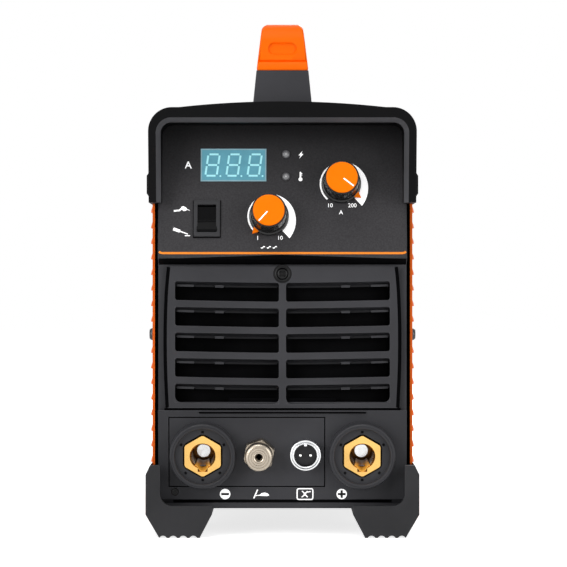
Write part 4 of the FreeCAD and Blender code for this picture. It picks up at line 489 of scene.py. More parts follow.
foot_rubber = moulded("foot_rubber", "2a2a2c", 0.6, 2400.0, 0.5, 0.2, 0.2, wear="38383a")
for corner in ("front_left", "front_right", "rear_left", "rear_right"):
    dressed("foot_" + corner, foot_rubber, 0.0006, 3)

# ------------------------------------------------------------------------------------------------
# Hoods and handle.  A satin black hood closes each end and carries the handle's legs.  The orange
# grip is a soft-touch moulding snapped over the black handle frame from above.
# ------------------------------------------------------------------------------------------------

HOOD_FRONT, BEVEL_TOP, BEVEL_SIDE = -0.185, 0.2405, 0.0725
RECESS_LONG, RECESS_TALL, RECESS_STEPS, LEVEL, MILLIMETRE = 16.0, 6.7, 32, 0.9, 0.001


def facing(spot, outward, turn=0.0):
    """A drawing plane in millimetres: x across, y up and z outwards from a spot on a panel."""
    out = Vector(outward).normalized()
    upright = Vector((0, 0, 1)) if abs(out.z) < LEVEL else Vector((0, 1, 0))
    across = upright.cross(out).normalized()
    turned = Matrix((across, out.cross(across), out)).transposed().to_4x4()
    return (Matrix.Translation(Vector(spot)) @ turned
            @ Matrix.Rotation(-math.radians(turn), 4, "Z") @ Matrix.Scale(MILLIMETRE, 4))


def tube(shape, rings, ends=True):
    """Faces between rings of corners, closed at both ends unless they run round to the start."""
    for outer, inside in zip(rings, rings[1:]):
        for here in range(len(outer)):
            shape.faces.new((outer[here], outer[here - 1], inside[here - 1], inside[here]))
    if ends:
        shape.faces.new(rings[0])
        shape.faces.new(list(reversed(rings[-1])))


def two_toned(piece, finish, chosen):
    """Gives the chosen faces of a piece a finish of their own."""
    piece.data.materials.append(finish)
    for face in piece.data.polygons:
        if chosen(face):
            face.material_index = 1


hood_plastic = moulded("hood_plastic", "080809", 0.46, 1900.0, 0.3, 0.14, 0.07, wear="1c1c1e")
handle_grey = moulded("handle_grey", "37373a", 0.5, 1900.0, 0.3, 0.14, 0.12, wear="454548")
grip_orange = moulded("grip_orange", "f86600", 0.4, 2100.0, 0.2, 0.04, 0.1)
# The bevel faces round the hood's opening take a lighter grey: a painted highlight, as if the bevel
# caught the light.
two_toned(dressed("front_hood", hood_plastic, 0.0006, 3),
          moulded("hood_bevel", "4a4a4d", 0.42, 1900.0, 0.3, 0.14, 0.15),
          lambda face: -0.92 < face.normal.y < -0.45 and face.center.y < HOOD_FRONT
          and face.center.z < BEVEL_TOP and abs(face.center.x) < BEVEL_SIDE)
dressed("rear_hood", hood_plastic, 0.0006, 3)
dressed("handle_frame", handle_grey, 0.001, 3)
dimple = bmesh.new()
rings = []
for grown_by, level in ((1.2, 1.5), (0.35, 0.0), (0.0, -1.1), (-0.7, -1.5)):
    radius, reach = RECESS_TALL / 2 + grown_by, (RECESS_LONG - RECESS_TALL) / 2
    rings.append([dimple.verts.new((math.copysign(reach, math.cos(turn)) + radius * math.cos(turn),
                                    radius * math.sin(turn), level))
                  for turn in (2 * math.pi * (step + 0.5) / RECESS_STEPS
                               for step in range(RECESS_STEPS))])
tube(dimple, rings)
tube(dimple, [[dimple.verts.new((across, up, level))
               for up, level in ((-8.4, 0.4), (-7.0, -1.3), (-6.3, 0.4))]
              for across in (-30.0, 30.0)])
outward_faces(dimple).transform(facing((0.0, -0.18513, 0.2776), (0, -0.9877, 0.156)))
dressed("handle_grip", grip_orange, 0.0013, 4, cutter=dimple)

# ------------------------------------------------------------------------------------------------
# Control film.  A textured polyester label is stuck on the sloping panel.  Its scales, symbols and
# the orange line along its lower edge are screen-printed ink, a little proud of the film.
# ------------------------------------------------------------------------------------------------

INK, LETTER_STEPS, SWEEP, SWEEP_START = (0.47, 0.54), 3, 275, 222


def clock(angle, radius, across=0.0, up=0.0):
    """A point at a clock angle, in degrees from the top."""
    return (across + radius * math.sin(math.radians(angle)),
            up + radius * math.cos(math.radians(angle)))


def plate(shape, outline, low, high):
    """Adds a flat plate with the given outline between two heights."""
    tube(shape, [[shape.verts.new((x, y, level)) for x, y in outline] for level in (high, low)])


def band(shape, left, right, low, high, closed=False):
    """A flat strip between two rows of points."""
    rows = [[shape.verts.new((x, y, level)) for x, y in row]
            for level in (low, high) for row in (left, right)]
    count = len(left)
    for here in range(count if closed else count - 1):
        ahead = (here + 1) % count
        for a, b in ((0, 1), (1, 3), (3, 2), (2, 0)):
            shape.faces.new((rows[a][here], rows[b][here], rows[b][ahead], rows[a][ahead]))
    if not closed:
        for end in (0, -1):
            shape.faces.new([rows[row][end] for row in (0, 1, 3, 2)])


def stroke(shape, points, width, low, high, closed=False):
    """A line of ink of one width along a path."""
    count, left, right = len(points), [], []
    for here in range(count):
        back = points[here - 1] if here or closed else points[0]
        onward = points[(here + 1) % count] if here < count - 1 or closed else points[-1]
        if back == points[here]:
            back = (2 * points[here][0] - onward[0], 2 * points[here][1] - onward[1])
        if onward == points[here]:
            onward = (2 * points[here][0] - back[0], 2 * points[here][1] - back[1])
        here_at = Vector(points[here])
        into, out = (here_at - Vector(back)).normalized(), (Vector(onward) - here_at).normalized()
        side = (into + out).normalized().orthogonal()
        reach = width / 2 / max(0.4, side.dot(out.orthogonal()))
        left.append(tuple(here_at + side * reach))
        right.append(tuple(here_at - side * reach))
    band(shape, left, right, low, high, closed)


def ribbon(points, width, low, high, closed=False):
    """A line of one width as a shape of its own."""
    shape = bmesh.new()
    stroke(shape, points, width, low, high, closed)
    return shape


def symbol(shape, spot, plates, strokes, levels):
    """Adds plates and strokes, given from a spot, between two levels."""
    def moved(points):
        return [(spot[0] + x, spot[1] + y) for x, y in points]

    for outline in plates:
        plate(shape, moved(outline), *levels)
    for points, width in strokes:
        stroke(shape, moved(points), width, *levels)


def lettered(shape, text, spot, tall, bold):
    """A number or a unit in plain upright print, centred on a spot."""
    face = bpy.data.curves.new("figures", "FONT")
    face.body, face.offset, face.resolution_u = text, bold, LETTER_STEPS
    flat = settled(stood("figures", face))
    xs, ys = [v.co.x for v in flat.vertices], [v.co.y for v in flat.vertices]
    middle = Vector(((max(xs) + min(xs)) / 2, (max(ys) + min(ys)) / 2, 0))
    flat.transform(Matrix.Translation((*spot, INK[0]))
                   @ Matrix.Scale(tall / (max(ys) - min(ys)), 4) @ Matrix.Translation(-middle))
    letters = bmesh.new()
    letters.from_mesh(flat)
    bmesh.ops.remove_doubles(letters, verts=letters.verts, dist=0.0005)
    raised = bmesh.ops.extrude_face_region(letters, geom=letters.faces[:])["geom"]
    bmesh.ops.translate(letters, vec=(0, 0, INK[1] - INK[0]),
                        verts=[part for part in raised if isinstance(part, bmesh.types.BMVert)])
    shape.from_mesh(mesh_of("figures", letters))


def ink(name, code, glow=0.0):
    """Screen ink: flat colour, slightly broken up by the film's texture, with a glow that paints
    light into it.
    """
    return finish_of(name, code, eroded_skin, {"Patches": 700.0}, (0.42, 0.55), 0.05,
                     (0.2, 0.00005), Emission_Color=(*printed(code), 1.0),
                     Emission_Strength=glow, Specular_IOR_Level=0.2)


film = finish_of("overlay_film", "39383a", eroded_skin, {"Grain": 1500.0, "Patches": 1100.0},
                 (0.45, 0.57), 0.16, (0.6, GRAIN_DEEP), Specular_IOR_Level=0.12)
film_tree, film_body = film.node_tree, film.node_tree.nodes["Principled BSDF"]
film_shade = film_body.inputs["Base Color"].links[0].from_socket
# The film darkens towards its top, nearly to black under the hood: painted shade, as if cast by the
# hood's lip.
film_place = wired(film_tree, "ShaderNodeTexCoord").outputs["Object"]
film_level = wired(film_tree, "ShaderNodeSeparateXYZ", {"Vector": film_place})
film_hood_shade = wired(film_tree, "ShaderNodeMapRange", {
    "Value": film_level.outputs["Z"], "From Min": 0.186, "From Max": 0.238, "To Min": 0.0,
    "To Max": 0.72}, interpolation_type="SMOOTHSTEP")
film_painted_shade = wired(film_tree, "ShaderNodeMix", {0: film_hood_shade.outputs["Result"], 6: film_shade,
                                                7: (*printed("0b0b0c"), 1.0)}, data_type="RGBA")
film_tree.links.new(film_painted_shade.outputs[2], film_body.inputs["Base Color"])
dressed("control_overlay", film, 0.00015, 1)
# White ink glows so that it shows white where shade falls on it: painted light.
white_ink_glowing = ink("white_ink_glowing", "ffffff", 0.4)
orange_ink = ink("orange_ink", "f08a2c")

joints = {joint["name"]: joint for joint in frame["joints"]}
current_joint, postflow_joint = joints["current_turn"], joints["postflow_turn"]
dial_spot, dial_out = Vector(current_joint["pos_m"]), Vector(current_joint["axis"])
panel = facing((0.0, dial_spot.y, dial_spot.z), dial_out)
SLOPE, PANEL_ZERO = dial_out.y / -1.0, dial_spot.z * 1000


def on_panel(across, height):
    """A point of the sloping panel from its place across and its height over the table."""
    return across, (height - PANEL_ZERO) / SLOPE


marks = bmesh.new()
current_middle, postflow_middle = [on_panel(joint["pos_m"][0] * 1000, joint["pos_m"][2] * 1000)
                                   for joint in (current_joint, postflow_joint)]
for middle, figures in ((current_middle, (("10", -6.2), ("200", 6.3))),
                        (postflow_middle, (("1", -6.4), ("10", 6.6)))):
    sweep = [SWEEP * step / 72 for step in range(73)]
    band(marks, [clock(SWEEP_START + turn, 11.4, *middle) for turn in sweep],
         [clock(SWEEP_START + turn, 12.25 + 5.0 * (turn / SWEEP) ** 2.8, *middle)
          for turn in sweep], *INK)
    for text, across in figures:
        lettered(marks, text, (middle[0] + across, middle[1] - 12.35), 2.35, 0.004)
lettered(marks, "A", (current_middle[0] - 0.2, current_middle[1] - 16.4), 2.4, 0.01)
lettered(marks, "A", on_panel(-53.9, 212.0), 4.1, 0.008)
for spot, plates, strokes in (
        ((10.6, 217.9), [[(0.75, 2.2), (-1.35, -0.45), (-0.2, -0.45), (-0.95, -2.3), (1.35, 0.45),
                          (0.25, 0.45)]], []),
        ((10.3, 205.3), [[clock(-turn, 0.45, 0, 2.3) for turn in range(90, -91, -30)]
                         + [clock(turn, 1.1, 0, -1.6) for turn in range(25, 336, 10)]],
         [([(0.45, level), (1.1, level)], 0.3) for level in (0.9, 1.7)]),
        ((-57.8, 187.0), [[(0.2, -0.6), (1.6, -1.7), (3.5, -0.9), (3.1, 0.2), (1.4, 1.3),
                           (0.0, 0.9)]],
         [([(-4.2, -1.5), (-1.0, -1.2), (0.6, 0.2)], 0.95), ([(3.5, -0.6), (4.8, -1.2)], 0.35)]),
        ((-57.8, 173.6), [], [([(-4.4, 1.7), (-0.6, 0.3)], 1.7), ([(-0.6, 0.3), (3.9, -1.4)], 0.6),
                              ([(2.2, -2.3), (5.2, -2.3)], 0.5)]),
        ((-7.7, 164.7), [], [([(shift + x * 0.28, 0.55 * math.sin(x * 0.75))
                               for x in range(-4, 5)], 0.5) for shift in (-3.4, 0.0, 3.4)])):
    symbol(marks, on_panel(*spot), plates, strokes, INK)
piece_of("panel_marks", marks, white_ink_glowing, place=panel)

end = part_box("control_overlay")[1].x * 1000 - 0.25
edge_line = [(end, 162.3), (end - 0.7, 161.65), (end - 2.0, 161.4), (40, 161.4)]
line = [on_panel(-x, z) for x, z in edge_line] + [on_panel(x, z) for x, z in edge_line[::-1]]
piece_of("panel_line", ribbon(line, 1.25, *INK), orange_ink, place=panel)

# ------------------------------------------------------------------------------------------------
# Display.  Three slanted seven-segment figures show pale blue in a tinted acrylic window.  The
# window is let into an opening of the film and has a lighter border along its edge.
# ------------------------------------------------------------------------------------------------

HALF, RISE_OF, LEAN, STROKE, SLIT, FIGURE = 3.25, 6.25, 0.135, 1.12, 0.66, (0.6, 0.68)


def glazed(name, code, rough=0.12, spread=0.05, glow=0.0):
    """Clear or tinted plastic over a coloured ground: smooth, with a faint cloudiness."""
    return finish_of(name, code, eroded_skin, {"Patches": 240.0}, (rough, rough + 0.1), spread,
                     Emission_Color=(*printed(code), 1.0), Emission_Strength=glow,
                     Specular_IOR_Level=0.3)


def corners(left, low, right, high):
    """The four corners of an upright rectangle."""
    return [(left, low), (right, low), (right, high), (left, high)]


def slab(outline, low, high):
    """A flat plate as a shape of its own."""
    shape = bmesh.new()
    plate(shape, outline, low, high)
    return shape


window_low, window_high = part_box("display_window")
wide, tall = (window_high.x - window_low.x) * 500, (window_high.z - window_low.z) * 500 / SLOPE
middle_x, middle_y = on_panel((window_high.x + window_low.x) * 500,
                              (window_high.z + window_low.z) * 500)


def window_edge(side, ends):
    """The window's corners, drawn in by so much at its sides and at its ends."""
    return corners(middle_x - wide + side, middle_y - tall + ends,
                   middle_x + wide - side, middle_y + tall - ends)


piece_of("display_glass", slab(window_edge(0.5, 0.62), -1.3, 0.62), glazed("window_blue", "5fa2b5"),
         ["display_window"], place=panel, edge=0.00008, steps=1)
piece_of("display_border", ribbon(window_edge(0.4, 0.5), 0.75, -1.3, 0.66, True),
         glazed("window_edge", "86aab6", 0.2), place=panel)

figures = bmesh.new()
for middle in (-40.0, -28.0, -15.9):
    across, up = on_panel(middle, 211.9)
    for start, finish in (((-HALF, 1), (HALF, 1)), ((-HALF, 0), (HALF, 0)),
                          ((-HALF, -1), (HALF, -1)), ((-HALF, 0), (-HALF, 1)),
                          ((HALF, 0), (HALF, 1)), ((-HALF, -1), (-HALF, 0)),
                          ((HALF, -1), (HALF, 0))):
        ends = [Vector((x, y * RISE_OF)) for x, y in (start, finish)]
        short = (ends[1] - ends[0]).normalized() * SLIT
        stroke(figures, [(across + at.x + at.y * LEAN, up + at.y)
                         for at in (ends[0] + short, ends[1] - short)], STROKE, *FIGURE)
    plate(figures, [clock(-360 * step / 16, 0.55, across + HALF + 1.25, up - RISE_OF - 0.2)
                    for step in range(16)], *FIGURE)
piece_of("display_figures", figures, glazed("segment_blue", "a6e6ee", 0.2, 0.03, 0.12),
         place=panel)

# ------------------------------------------------------------------------------------------------
# Status lamps.  Two snap-in lamps are pushed through the film beside the display.  Each is a dull
# grey moulded collar round a milky lens, with its diode showing as a paler core.
# ------------------------------------------------------------------------------------------------


def swept(profile, turns, wobble=None):
    """A profile of radius and height carried through turns about z."""
    shape = bmesh.new()

    def spot(turn, point):
        radius, height = point
        if wobble and radius:
            radius = wobble(turn, radius, height)
        return radius * math.cos(turn), radius * math.sin(turn), height

    patch(shape, turns, profile, spot)
    return shape


def lathe(profile, steps=64, wobble=None):
    """A shape turned about z from a profile of radius and height, closed where it meets z."""
    shape = swept(profile, [2 * math.pi * step / steps for step in range(steps + 1)], wobble)
    bmesh.ops.remove_doubles(shape, verts=shape.verts, dist=0.0006)
    return shape


lamp_parts = (
    ("collar", moulded("lamp_collar", "5c5c5e", 0.4, shine=0.3), 48,
     [(0, -14), (1.5, -14), (1.5, -1.5), (2.3, -1.5), (2.3, 0.9), (2.15, 1.1), (1.85, 1.1),
      (1.7, 0.85), (0, 0.85)]),
    ("lens", glazed("lamp_lens", "858587", 0.16), 48,
     [(0, 0.8), (1.72, 0.8), (1.7, 1.0), (1.4, 1.3), (0.9, 1.45), (0, 1.5)]),
    ("core", glazed("lamp_core", "c4c4c4", 0.2), 24,
     [(0, 1.45), (0.5, 1.46), (0.42, 1.53), (0, 1.56)]))
lamp_x = (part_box("status_lamps")[0].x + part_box("status_lamps")[1].x) * 500
for which, height in (("power", 218.1), ("heat", 205.2)):
    for part, finish, steps, profile in lamp_parts:
        piece_of(f"{which}_lamp_{part}", lathe(profile, steps), finish,
                 ["status_lamps"] if (which, part) == ("power", "collar") else (),
                 place=panel @ Matrix.Translation((*on_panel(lamp_x, height), 0)))

# ------------------------------------------------------------------------------------------------
# Mode switch.  A snap-in rocker switch: a satin grey bezel and a glossy black two-way button that
# turns on pins in the bezel.
# ------------------------------------------------------------------------------------------------

BUTTON_X = -43.1


def skin_at(node, across, height, far=-0.4, way=1.0):
    """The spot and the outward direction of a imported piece's face, looked at along y."""
    source = frame["nodes"][node].data
    tree = BVHTree.FromPolygons([v.co for v in source.vertices],
                                [tuple(face.vertices) for face in source.polygons])
    return tree.ray_cast(Vector((across / 1000, far, height / 1000)), Vector((0.0, way, 0.0)))[:2]


bezel_grey = moulded("bezel_grey", "343436", 0.46, 1800.0, 0.3, 0.12, 0.15)
# A dead black for painted shadow in the gaps and under the steps of the front.
shadow_black = moulded("shadow_black", "050506", 0.7, 1500.0, 0.2, 0.1, 0.02)
rocker_grey = moulded("rocker_grey", "040405", 0.3, 900.0, 0.05, shine=0.08)
dressed("mode_switch_body", bezel_grey, 0.0004, 3)
bezel_low, bezel_high = [corner * 1000 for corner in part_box("mode_switch_body")]
# A black line round the bezel is painted shadow in the gap round it.
bezel_rim = [on_panel(x, z) for x, z in corners(bezel_low.x - 0.1, bezel_low.z + 1.2,
                                                bezel_high.x + 0.1, 191.2)]
piece_of("mode_bezel_shadow", ribbon(bezel_rim, 0.55, 0.4, 0.75, True), shadow_black,
         place=panel)
button_place = facing((BUTTON_X / 1000, dial_spot.y, dial_spot.z), dial_out)
button_low, button_high = [corner * 1000 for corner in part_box("mode_switch_rocker")]
button_ends = [skin_at("mode_switch_rocker", BUTTON_X, height)[0]
               for height in (button_low.z + 1.4, button_high.z - 1.4)]
low_end, high_end = [(button_place.inverted() @ spot).yz for spot in button_ends]
ridge = Vector((on_panel(0, 179.6)[1], (low_end.y + high_end.y) / 2 - 1.1))
profile = [(low_end.x - 0.9, -6.0), (low_end.x - 0.9, low_end.y - 0.7),
           (low_end.x - 0.6, low_end.y), (low_end.x + 0.4, low_end.y), (ridge.x - 0.55, ridge.y),
           (ridge.x - 0.3, ridge.y + 0.3), (ridge.x + 0.3, ridge.y + 0.3),
           (ridge.x + 0.55, ridge.y), (high_end.x - 0.4, high_end.y),
           (high_end.x + 0.6, high_end.y), (high_end.x + 0.9, high_end.y - 0.7),
           (high_end.x + 0.9, -6.0)]
half = (button_high.x - button_low.x) / 2 - 0.25
button = bmesh.new()
tube(button, [[button.verts.new((across, up, lift)) for up, lift in profile]
              for across in (-half, half)])
piece_of("mode_button", button, rocker_grey, ["mode_switch_rocker"],
         "mode_rocker", button_place, smooth=20.0, edge=0.0003, steps=3)

# ------------------------------------------------------------------------------------------------
# Dials.  Each knob is black phenolic with a fluted grip over a plain skirt, an orange cap with a
# white pointer line pressed into its top, and an orange arrow on the skirt.
# ------------------------------------------------------------------------------------------------

FLUTES, GRIP_LOW, GRIP_HIGH, FLUTE_DEEP = 24, 4.4, 17.8, 0.34

ring_of, ring_dial = grower("ring_of", [("Count", "Int")])
ring_line = wired(ring_of, "GeometryNodeMeshLine", {"Count": ring_dial["Count"],
                                                    "Offset": (0, 0, 0)}, mode="OFFSET")
ring_index = wired(ring_of, "GeometryNodeInputIndex").outputs["Index"]
ring_angle = maths(ring_of, "MULTIPLY",
                   maths(ring_of, "DIVIDE", ring_index, ring_dial["Count"]), 2 * math.pi)
ring_set = wired(ring_of, "GeometryNodeInstanceOnPoints", {
    "Points": ring_line.outputs["Mesh"], "Instance": ring_dial["Shape"],
    "Rotation": wired(ring_of, "ShaderNodeCombineXYZ", {"Z": ring_angle}).outputs[0]})
ending(ring_of, ring_set.outputs["Instances"], ring_dial["Finish"])


def around(profile, count, lines, finish, wobble):
    """Turns one sector of a profile and repeats it round z into one closed shape."""
    share = 2 * math.pi / count
    sector = swept(profile, [share * line / lines for line in range(lines + 1)],
                   lambda turn, radius, height: wobble(turn / share, radius, height))
    whole = joined(grown(sector, ring_of, {"Count": count, "Finish": finish}))
    bmesh.ops.remove_doubles(whole, verts=whole.verts, dist=0.0008)
    return whole


def fluted(part, radius, height):
    """Shallow hollows between narrow ridges, which fade out at both ends of the grip."""
    if radius < 9.0 or not GRIP_LOW < height < GRIP_HIGH:
        return radius
    fade = min(1.0, (height - GRIP_LOW) / 1.2, (GRIP_HIGH - height) / 0.8)
    return radius - FLUTE_DEEP * fade * abs(math.sin(math.pi * part)) ** 0.7


knob_black = moulded("knob_black", "0c0c0d", 0.22, 2000.0, 0.08, shine=0.35)
cap_orange = moulded("cap_orange", "fa7a00", 0.42, 2100.0, 0.12, 0.03, 0.08)
for which, joint, turn in (("current", current_joint, 127.5), ("postflow", postflow_joint, 222.0)):
    body = which + "_dial"
    place = facing(joint["pos_m"], joint["axis"], turn)
    knob = around([(0, 17.3), (8.95, 17.3), (8.95, 18.45), (9.3, 18.5), (9.62, 18.4), (9.8, 18.1),
                   (9.88, 17.6), (9.9, 16.9), (9.98, 11.0), (10.1, 5.4), (10.15, 4.6), (10.3, 4.15),
                   (10.95, 4.0), (11.2, 3.75), (11.3, 3.3), (11.4, 2.0), (11.3, 1.6), (11.0, 1.5),
                   (6.5, 1.5), (6.5, 6.5), (3.05, 6.5), (3.05, 14.0), (0, 14.0)],
                  FLUTES, 8, knob_black, fluted)
    piece_of(which + "_knob_body", knob, knob_black, [which + "_knob"], body,
             place, smooth=50.0)
    cap = lathe([(0, 17.35), (8.9, 17.35), (8.93, 18.9), (8.8, 19.2), (8.5, 19.35), (7.9, 19.42),
                 (0, 19.5)], 96)
    piece_of(which + "_cap", cap, cap_orange, [which + "_knob_cap"], body, place)
    piece_of(which + "_pointer", slab(corners(-0.38, 1.2, 0.38, 8.35), 19.2, 19.53), white_ink_glowing,
             (), body, place)
    piece_of(which + "_arrow", slab([(-2.05, 10.6), (2.05, 10.6), (0, 14.2)], 2.2, 4.25),
             cap_orange, (), body, place, edge=0.0002)

# ------------------------------------------------------------------------------------------------
# Ledge.  Under the film the front steps back to the grille.  The step is covered in black painted
# shadow, with a black arch of painted shadow along the film's lower edge that runs into it.
# ------------------------------------------------------------------------------------------------

FILM_FOOT, STEP_HALF, STEP_DEEP = 157.95, 70.6, 3.75

arch = bmesh.new()
spread = [STEP_HALF * (step / 16 - 1) for step in range(33)]
band(arch, [on_panel(x, FILM_FOOT) for x in spread],
     [on_panel(x, 160.4 - 2.3 * abs(x) / STEP_HALF) for x in spread], -0.4, 0.62)
piece_of("film_shadow_arch", arch, shadow_black, place=panel)
piece_of("ledge_shadow_sheet",
         slab(corners(-STEP_HALF, -STEP_DEEP, STEP_HALF, STEP_DEEP), -0.3, 0.06), shadow_black,
         place=facing((0, -0.1795, 0.1565), (0, -0.394, -0.919)))

# ------------------------------------------------------------------------------------------------
# Grille door.  A moulded door closes the cool-air intake: hooked in below, held by one screw above.
# Black rubber seals along both sides also paint the shade of the gaps, black strips under it are
# painted shadow, and a black pad behind its slots paints the shade inside them.
# ------------------------------------------------------------------------------------------------

DOOR_Y, DOOR_SKIN, SILL_TOP, SILL_HALF = -0.179, -0.1765, 0.0795, 0.05
SLOT_PITCH, SLOT_LOW, SLOT_TALL, SLOT_END, SLOT_BAR, BOW = 14.6, 75.4, 10.7, 61.3, 2.05, 1.0
SEAL_PATH = [(64.9, 153.6), (65.6, 147.0), (66.2, 139.0), (66.6, 130.0), (66.85, 120.0),
             (66.9, 110.0), (66.8, 100.0), (66.5, 90.0), (66.1, 81.0), (65.7, 73.4)]

# The door's faces behind its skin and under its sill are black: painted shade.
two_toned(dressed("grille_door", case_plastic, 0.0006, 3), shadow_black,
          lambda face: face.center.y > DOOR_SKIN and face.center.z < SILL_TOP
          and abs(face.center.x) < SILL_HALF)
# The black strips along both sides are rubber seals whose black also paints the shade of the gaps;
# the strips under the door are painted shadow.
seal_and_shadow_black = moulded("seal_and_shadow_black", "040405", 0.75, 1500.0, 0.2, 0.1, 0.02)
door_place = facing((0.0, DOOR_Y, 0.0), (0, -1, 0))
door_strips = bmesh.new()
for points, width, low, high in (
        *(([(side * x, z) for x, z in SEAL_PATH], 2.0, -3.1, 0.07) for side in (-1, 1)),
        ([(-67.4, 72.45), (67.4, 72.45)], 1.4, -3.1, -0.3),
        ([(-47.6, 70.5), (47.6, 70.5)], 0.85, 0.3, 1.35)):
    stroke(door_strips, points, width, low, high)
piece_of("door_seal_and_shadow", door_strips, seal_and_shadow_black, place=door_place, edge=0.0002)


def fillet(shape, x, z, way_x, way_z, radius, low, high):
    """Fills the corner of an opening with a hollow curve."""
    arc = [(x + way_x * radius * (1 - math.sin(turn)), z + way_z * radius * (1 - math.cos(turn)))
           for turn in (math.pi / 2 * step / 6 for step in range(7))]
    plate(shape, [(x, z)] + arc, low, high)


def down_the_slots(name, shape, finish):
    """The same small shape in every slot of the door."""
    copies = grown(outward_faces(shape), rows_of, {
        "Step": (0, SLOT_PITCH, 0), "Count": 5, "Row Step": (0, 0, 0), "Rows": 1,
        "Finish": finish})
    piece_of(name, copies, finish, place=door_place)


slot_fillets, low_fillets = bmesh.new(), bmesh.new()
for side in (-1, 1):
    for reach, way, rise in ((SLOT_END, -1, BOW), (SLOT_BAR, 1, 0.0)):
        for level, way_z in ((SLOT_LOW + rise, 1), (SLOT_LOW + SLOT_TALL + rise, -1)):
            fillet(slot_fillets, side * reach, level, side * way, way_z, 1.3, -2.4, -0.02)
        fillet(low_fillets, side * reach, SLOT_LOW + rise, side * way, 1, 3.4, -2.4, -0.01)
piece_of("low_slot_corners", low_fillets, case_plastic, place=door_place)
down_the_slots("slot_corners", slot_fillets, case_plastic)
# The lips deep in the slots take a darker copy of the case plastic: painted shade.
for name, finish, segments in (
        ("slot_clips", case_plastic, ((50.6, 60.2, 1.15), (33.6, 38.6, 1.3))),
        ("slot_lips", moulded("lip_shade_black", "19191b", 0.5, shine=0.1),
         ((3.0, 33.0, 0.95), (39.2, 50.0, 0.95)))):
    lip = bmesh.new()
    for side in (-1, 1):
        for start, end, wide in segments:
            steps = [start + (end - start) * part / 5 for part in range(6)]
            stroke(lip, [(side * x, SLOT_LOW + SLOT_TALL - 1.3 - BOW * (1 - (x / SLOT_END) ** 2))
                         for x in steps], wide, -4.4, -3.4)
    down_the_slots(name, lip, finish)

# A black pad close behind the slots keeps them dark: painted shade inside the machine.
pad = bmesh.new()
patch(pad, [-62 + 124 * step / 31 for step in range(32)],
      [73.5 + 77 * step / 20 for step in range(21)],
      lambda x, z: (x, z, -9.6 - 0.35 * math.sin(x * 1.9) * math.sin(z * 2.3)))
piece_of("slot_shade_pad", pad, moulded("slot_shade_black", "0b0b0c", 0.9, 260.0, 1.0, 0.5, 0.02),
         place=door_place, thick=0.004)

# ------------------------------------------------------------------------------------------------
# Fastenings and painted shade round the door.  A black socket-head screw holds the lower corner,
# and a turned ring seats the door's own screw.  A black strip under the sill is painted shadow,
# and black strips behind the cover's front and rear ends paint the shade inside its louvres.
# ------------------------------------------------------------------------------------------------

HEX_CELL, HALF_CELL, STRIP_IN, STRIP_OUT = math.pi / 3, math.pi / 6, 71.0, 73.45


def hexagon_reach(turn, flat, corner):
    """Reach of a hexagon with its corners turned down to a circle."""
    return min(flat / math.cos((turn + HALF_CELL) % HEX_CELL - HALF_CELL), corner)


lower_out = Vector((0.0, -0.9953962, -0.0958458))
corner_black = moulded("corner_black", "060607", 0.36, shine=0.22)
corner_screw = lathe([(0, -4.0), (1.5, -4.0), (1.5, 0.0), (2.2, 0.05), (2.25, 0.9), (2.0, 1.1),
                      (1.35, 1.1), (1.2, 0.5), (0, 0.4)], 48,
                     lambda turn, radius, height: hexagon_reach(turn, 1.2, 9.0)
                     if height > 0.3 and radius < 1.4 else radius)
piece_of("corner_screw", corner_screw, corner_black,
         place=facing((-0.0616, -0.17335, 0.0249), lower_out), smooth=25.0)
seat = lathe([(3.55, -0.6), (3.55, 0.1), (3.8, 0.22), (4.1, 0.05), (4.3, 0.05), (4.6, 0.3),
              (5.0, 0.3), (5.25, 0.0), (5.25, -0.6), (3.55, -0.6)], 72)
piece_of("screw_seat", seat, corner_black,
         place=facing((0.0, DOOR_Y, 0.1497), (0, -1, 0)), smooth=30.0)
# A black strip under the sill is painted shadow.
piece_of("sill_shadow", slab(corners(-62.5, -1.3, 62.5, 1.2), -0.3, 0.07), shadow_black,
         place=facing((0.0, -0.17295, 0.01968), (0, -0.707, -0.707)))
# Black strips behind the cover's ends paint the shade seen through its louvres.
for name, way in (("cover_shade_strip", -1), ("rear_cover_shade_strip", 1)):
    shade_strips = bmesh.new()
    for side in (-1, 1):
        plate(shade_strips, corners(side * STRIP_IN, 22.0, side * STRIP_OUT, 228.0), 16.0, 20.0)
    piece_of(name, shade_strips, seal_and_shadow_black,
             place=facing((0.0, 0.145 * way, 0.0), (0, way, 0)))

# ------------------------------------------------------------------------------------------------
# Connector plate.  A flat moulded cover lies over the front frame under the grille.  The gas outlet
# and the control socket pass through it and clamp it, and a black line round it paints the shadow
# of the narrow gap there.
# ------------------------------------------------------------------------------------------------

PLATE_MIDDLE = 60.0

dressed("connector_plate", case_plastic, 0.0003)
plate_spot, plate_out = skin_at("connector_plate", 0.0, PLATE_MIDDLE)
plate_low, plate_high = [(z - PLATE_MIDDLE) / abs(plate_out.y) for z in (28.1, 67.8)]
piece_of("plate_shadow_line", ribbon(corners(-64.8, plate_low, 24.1, plate_high), 0.55, -1.0, 0.04, True),
         shadow_black, place=facing((0.0, plate_spot.y, plate_spot.z), plate_out))

# ------------------------------------------------------------------------------------------------
# Welding sockets.  A moulded nylon cup with a stepped rim is bolted into the front.  The brass
# contact in it is turned from hexagon bar, with a chamfered bore and a keyway for the plug.
# ------------------------------------------------------------------------------------------------

BAR_FLAT, MOUTH, BORE, KEY_HALF, FLARE_HALF, LINES_DEEP = 10.5, 8.0, 7.0, 2.8, 26.0, 0.00004

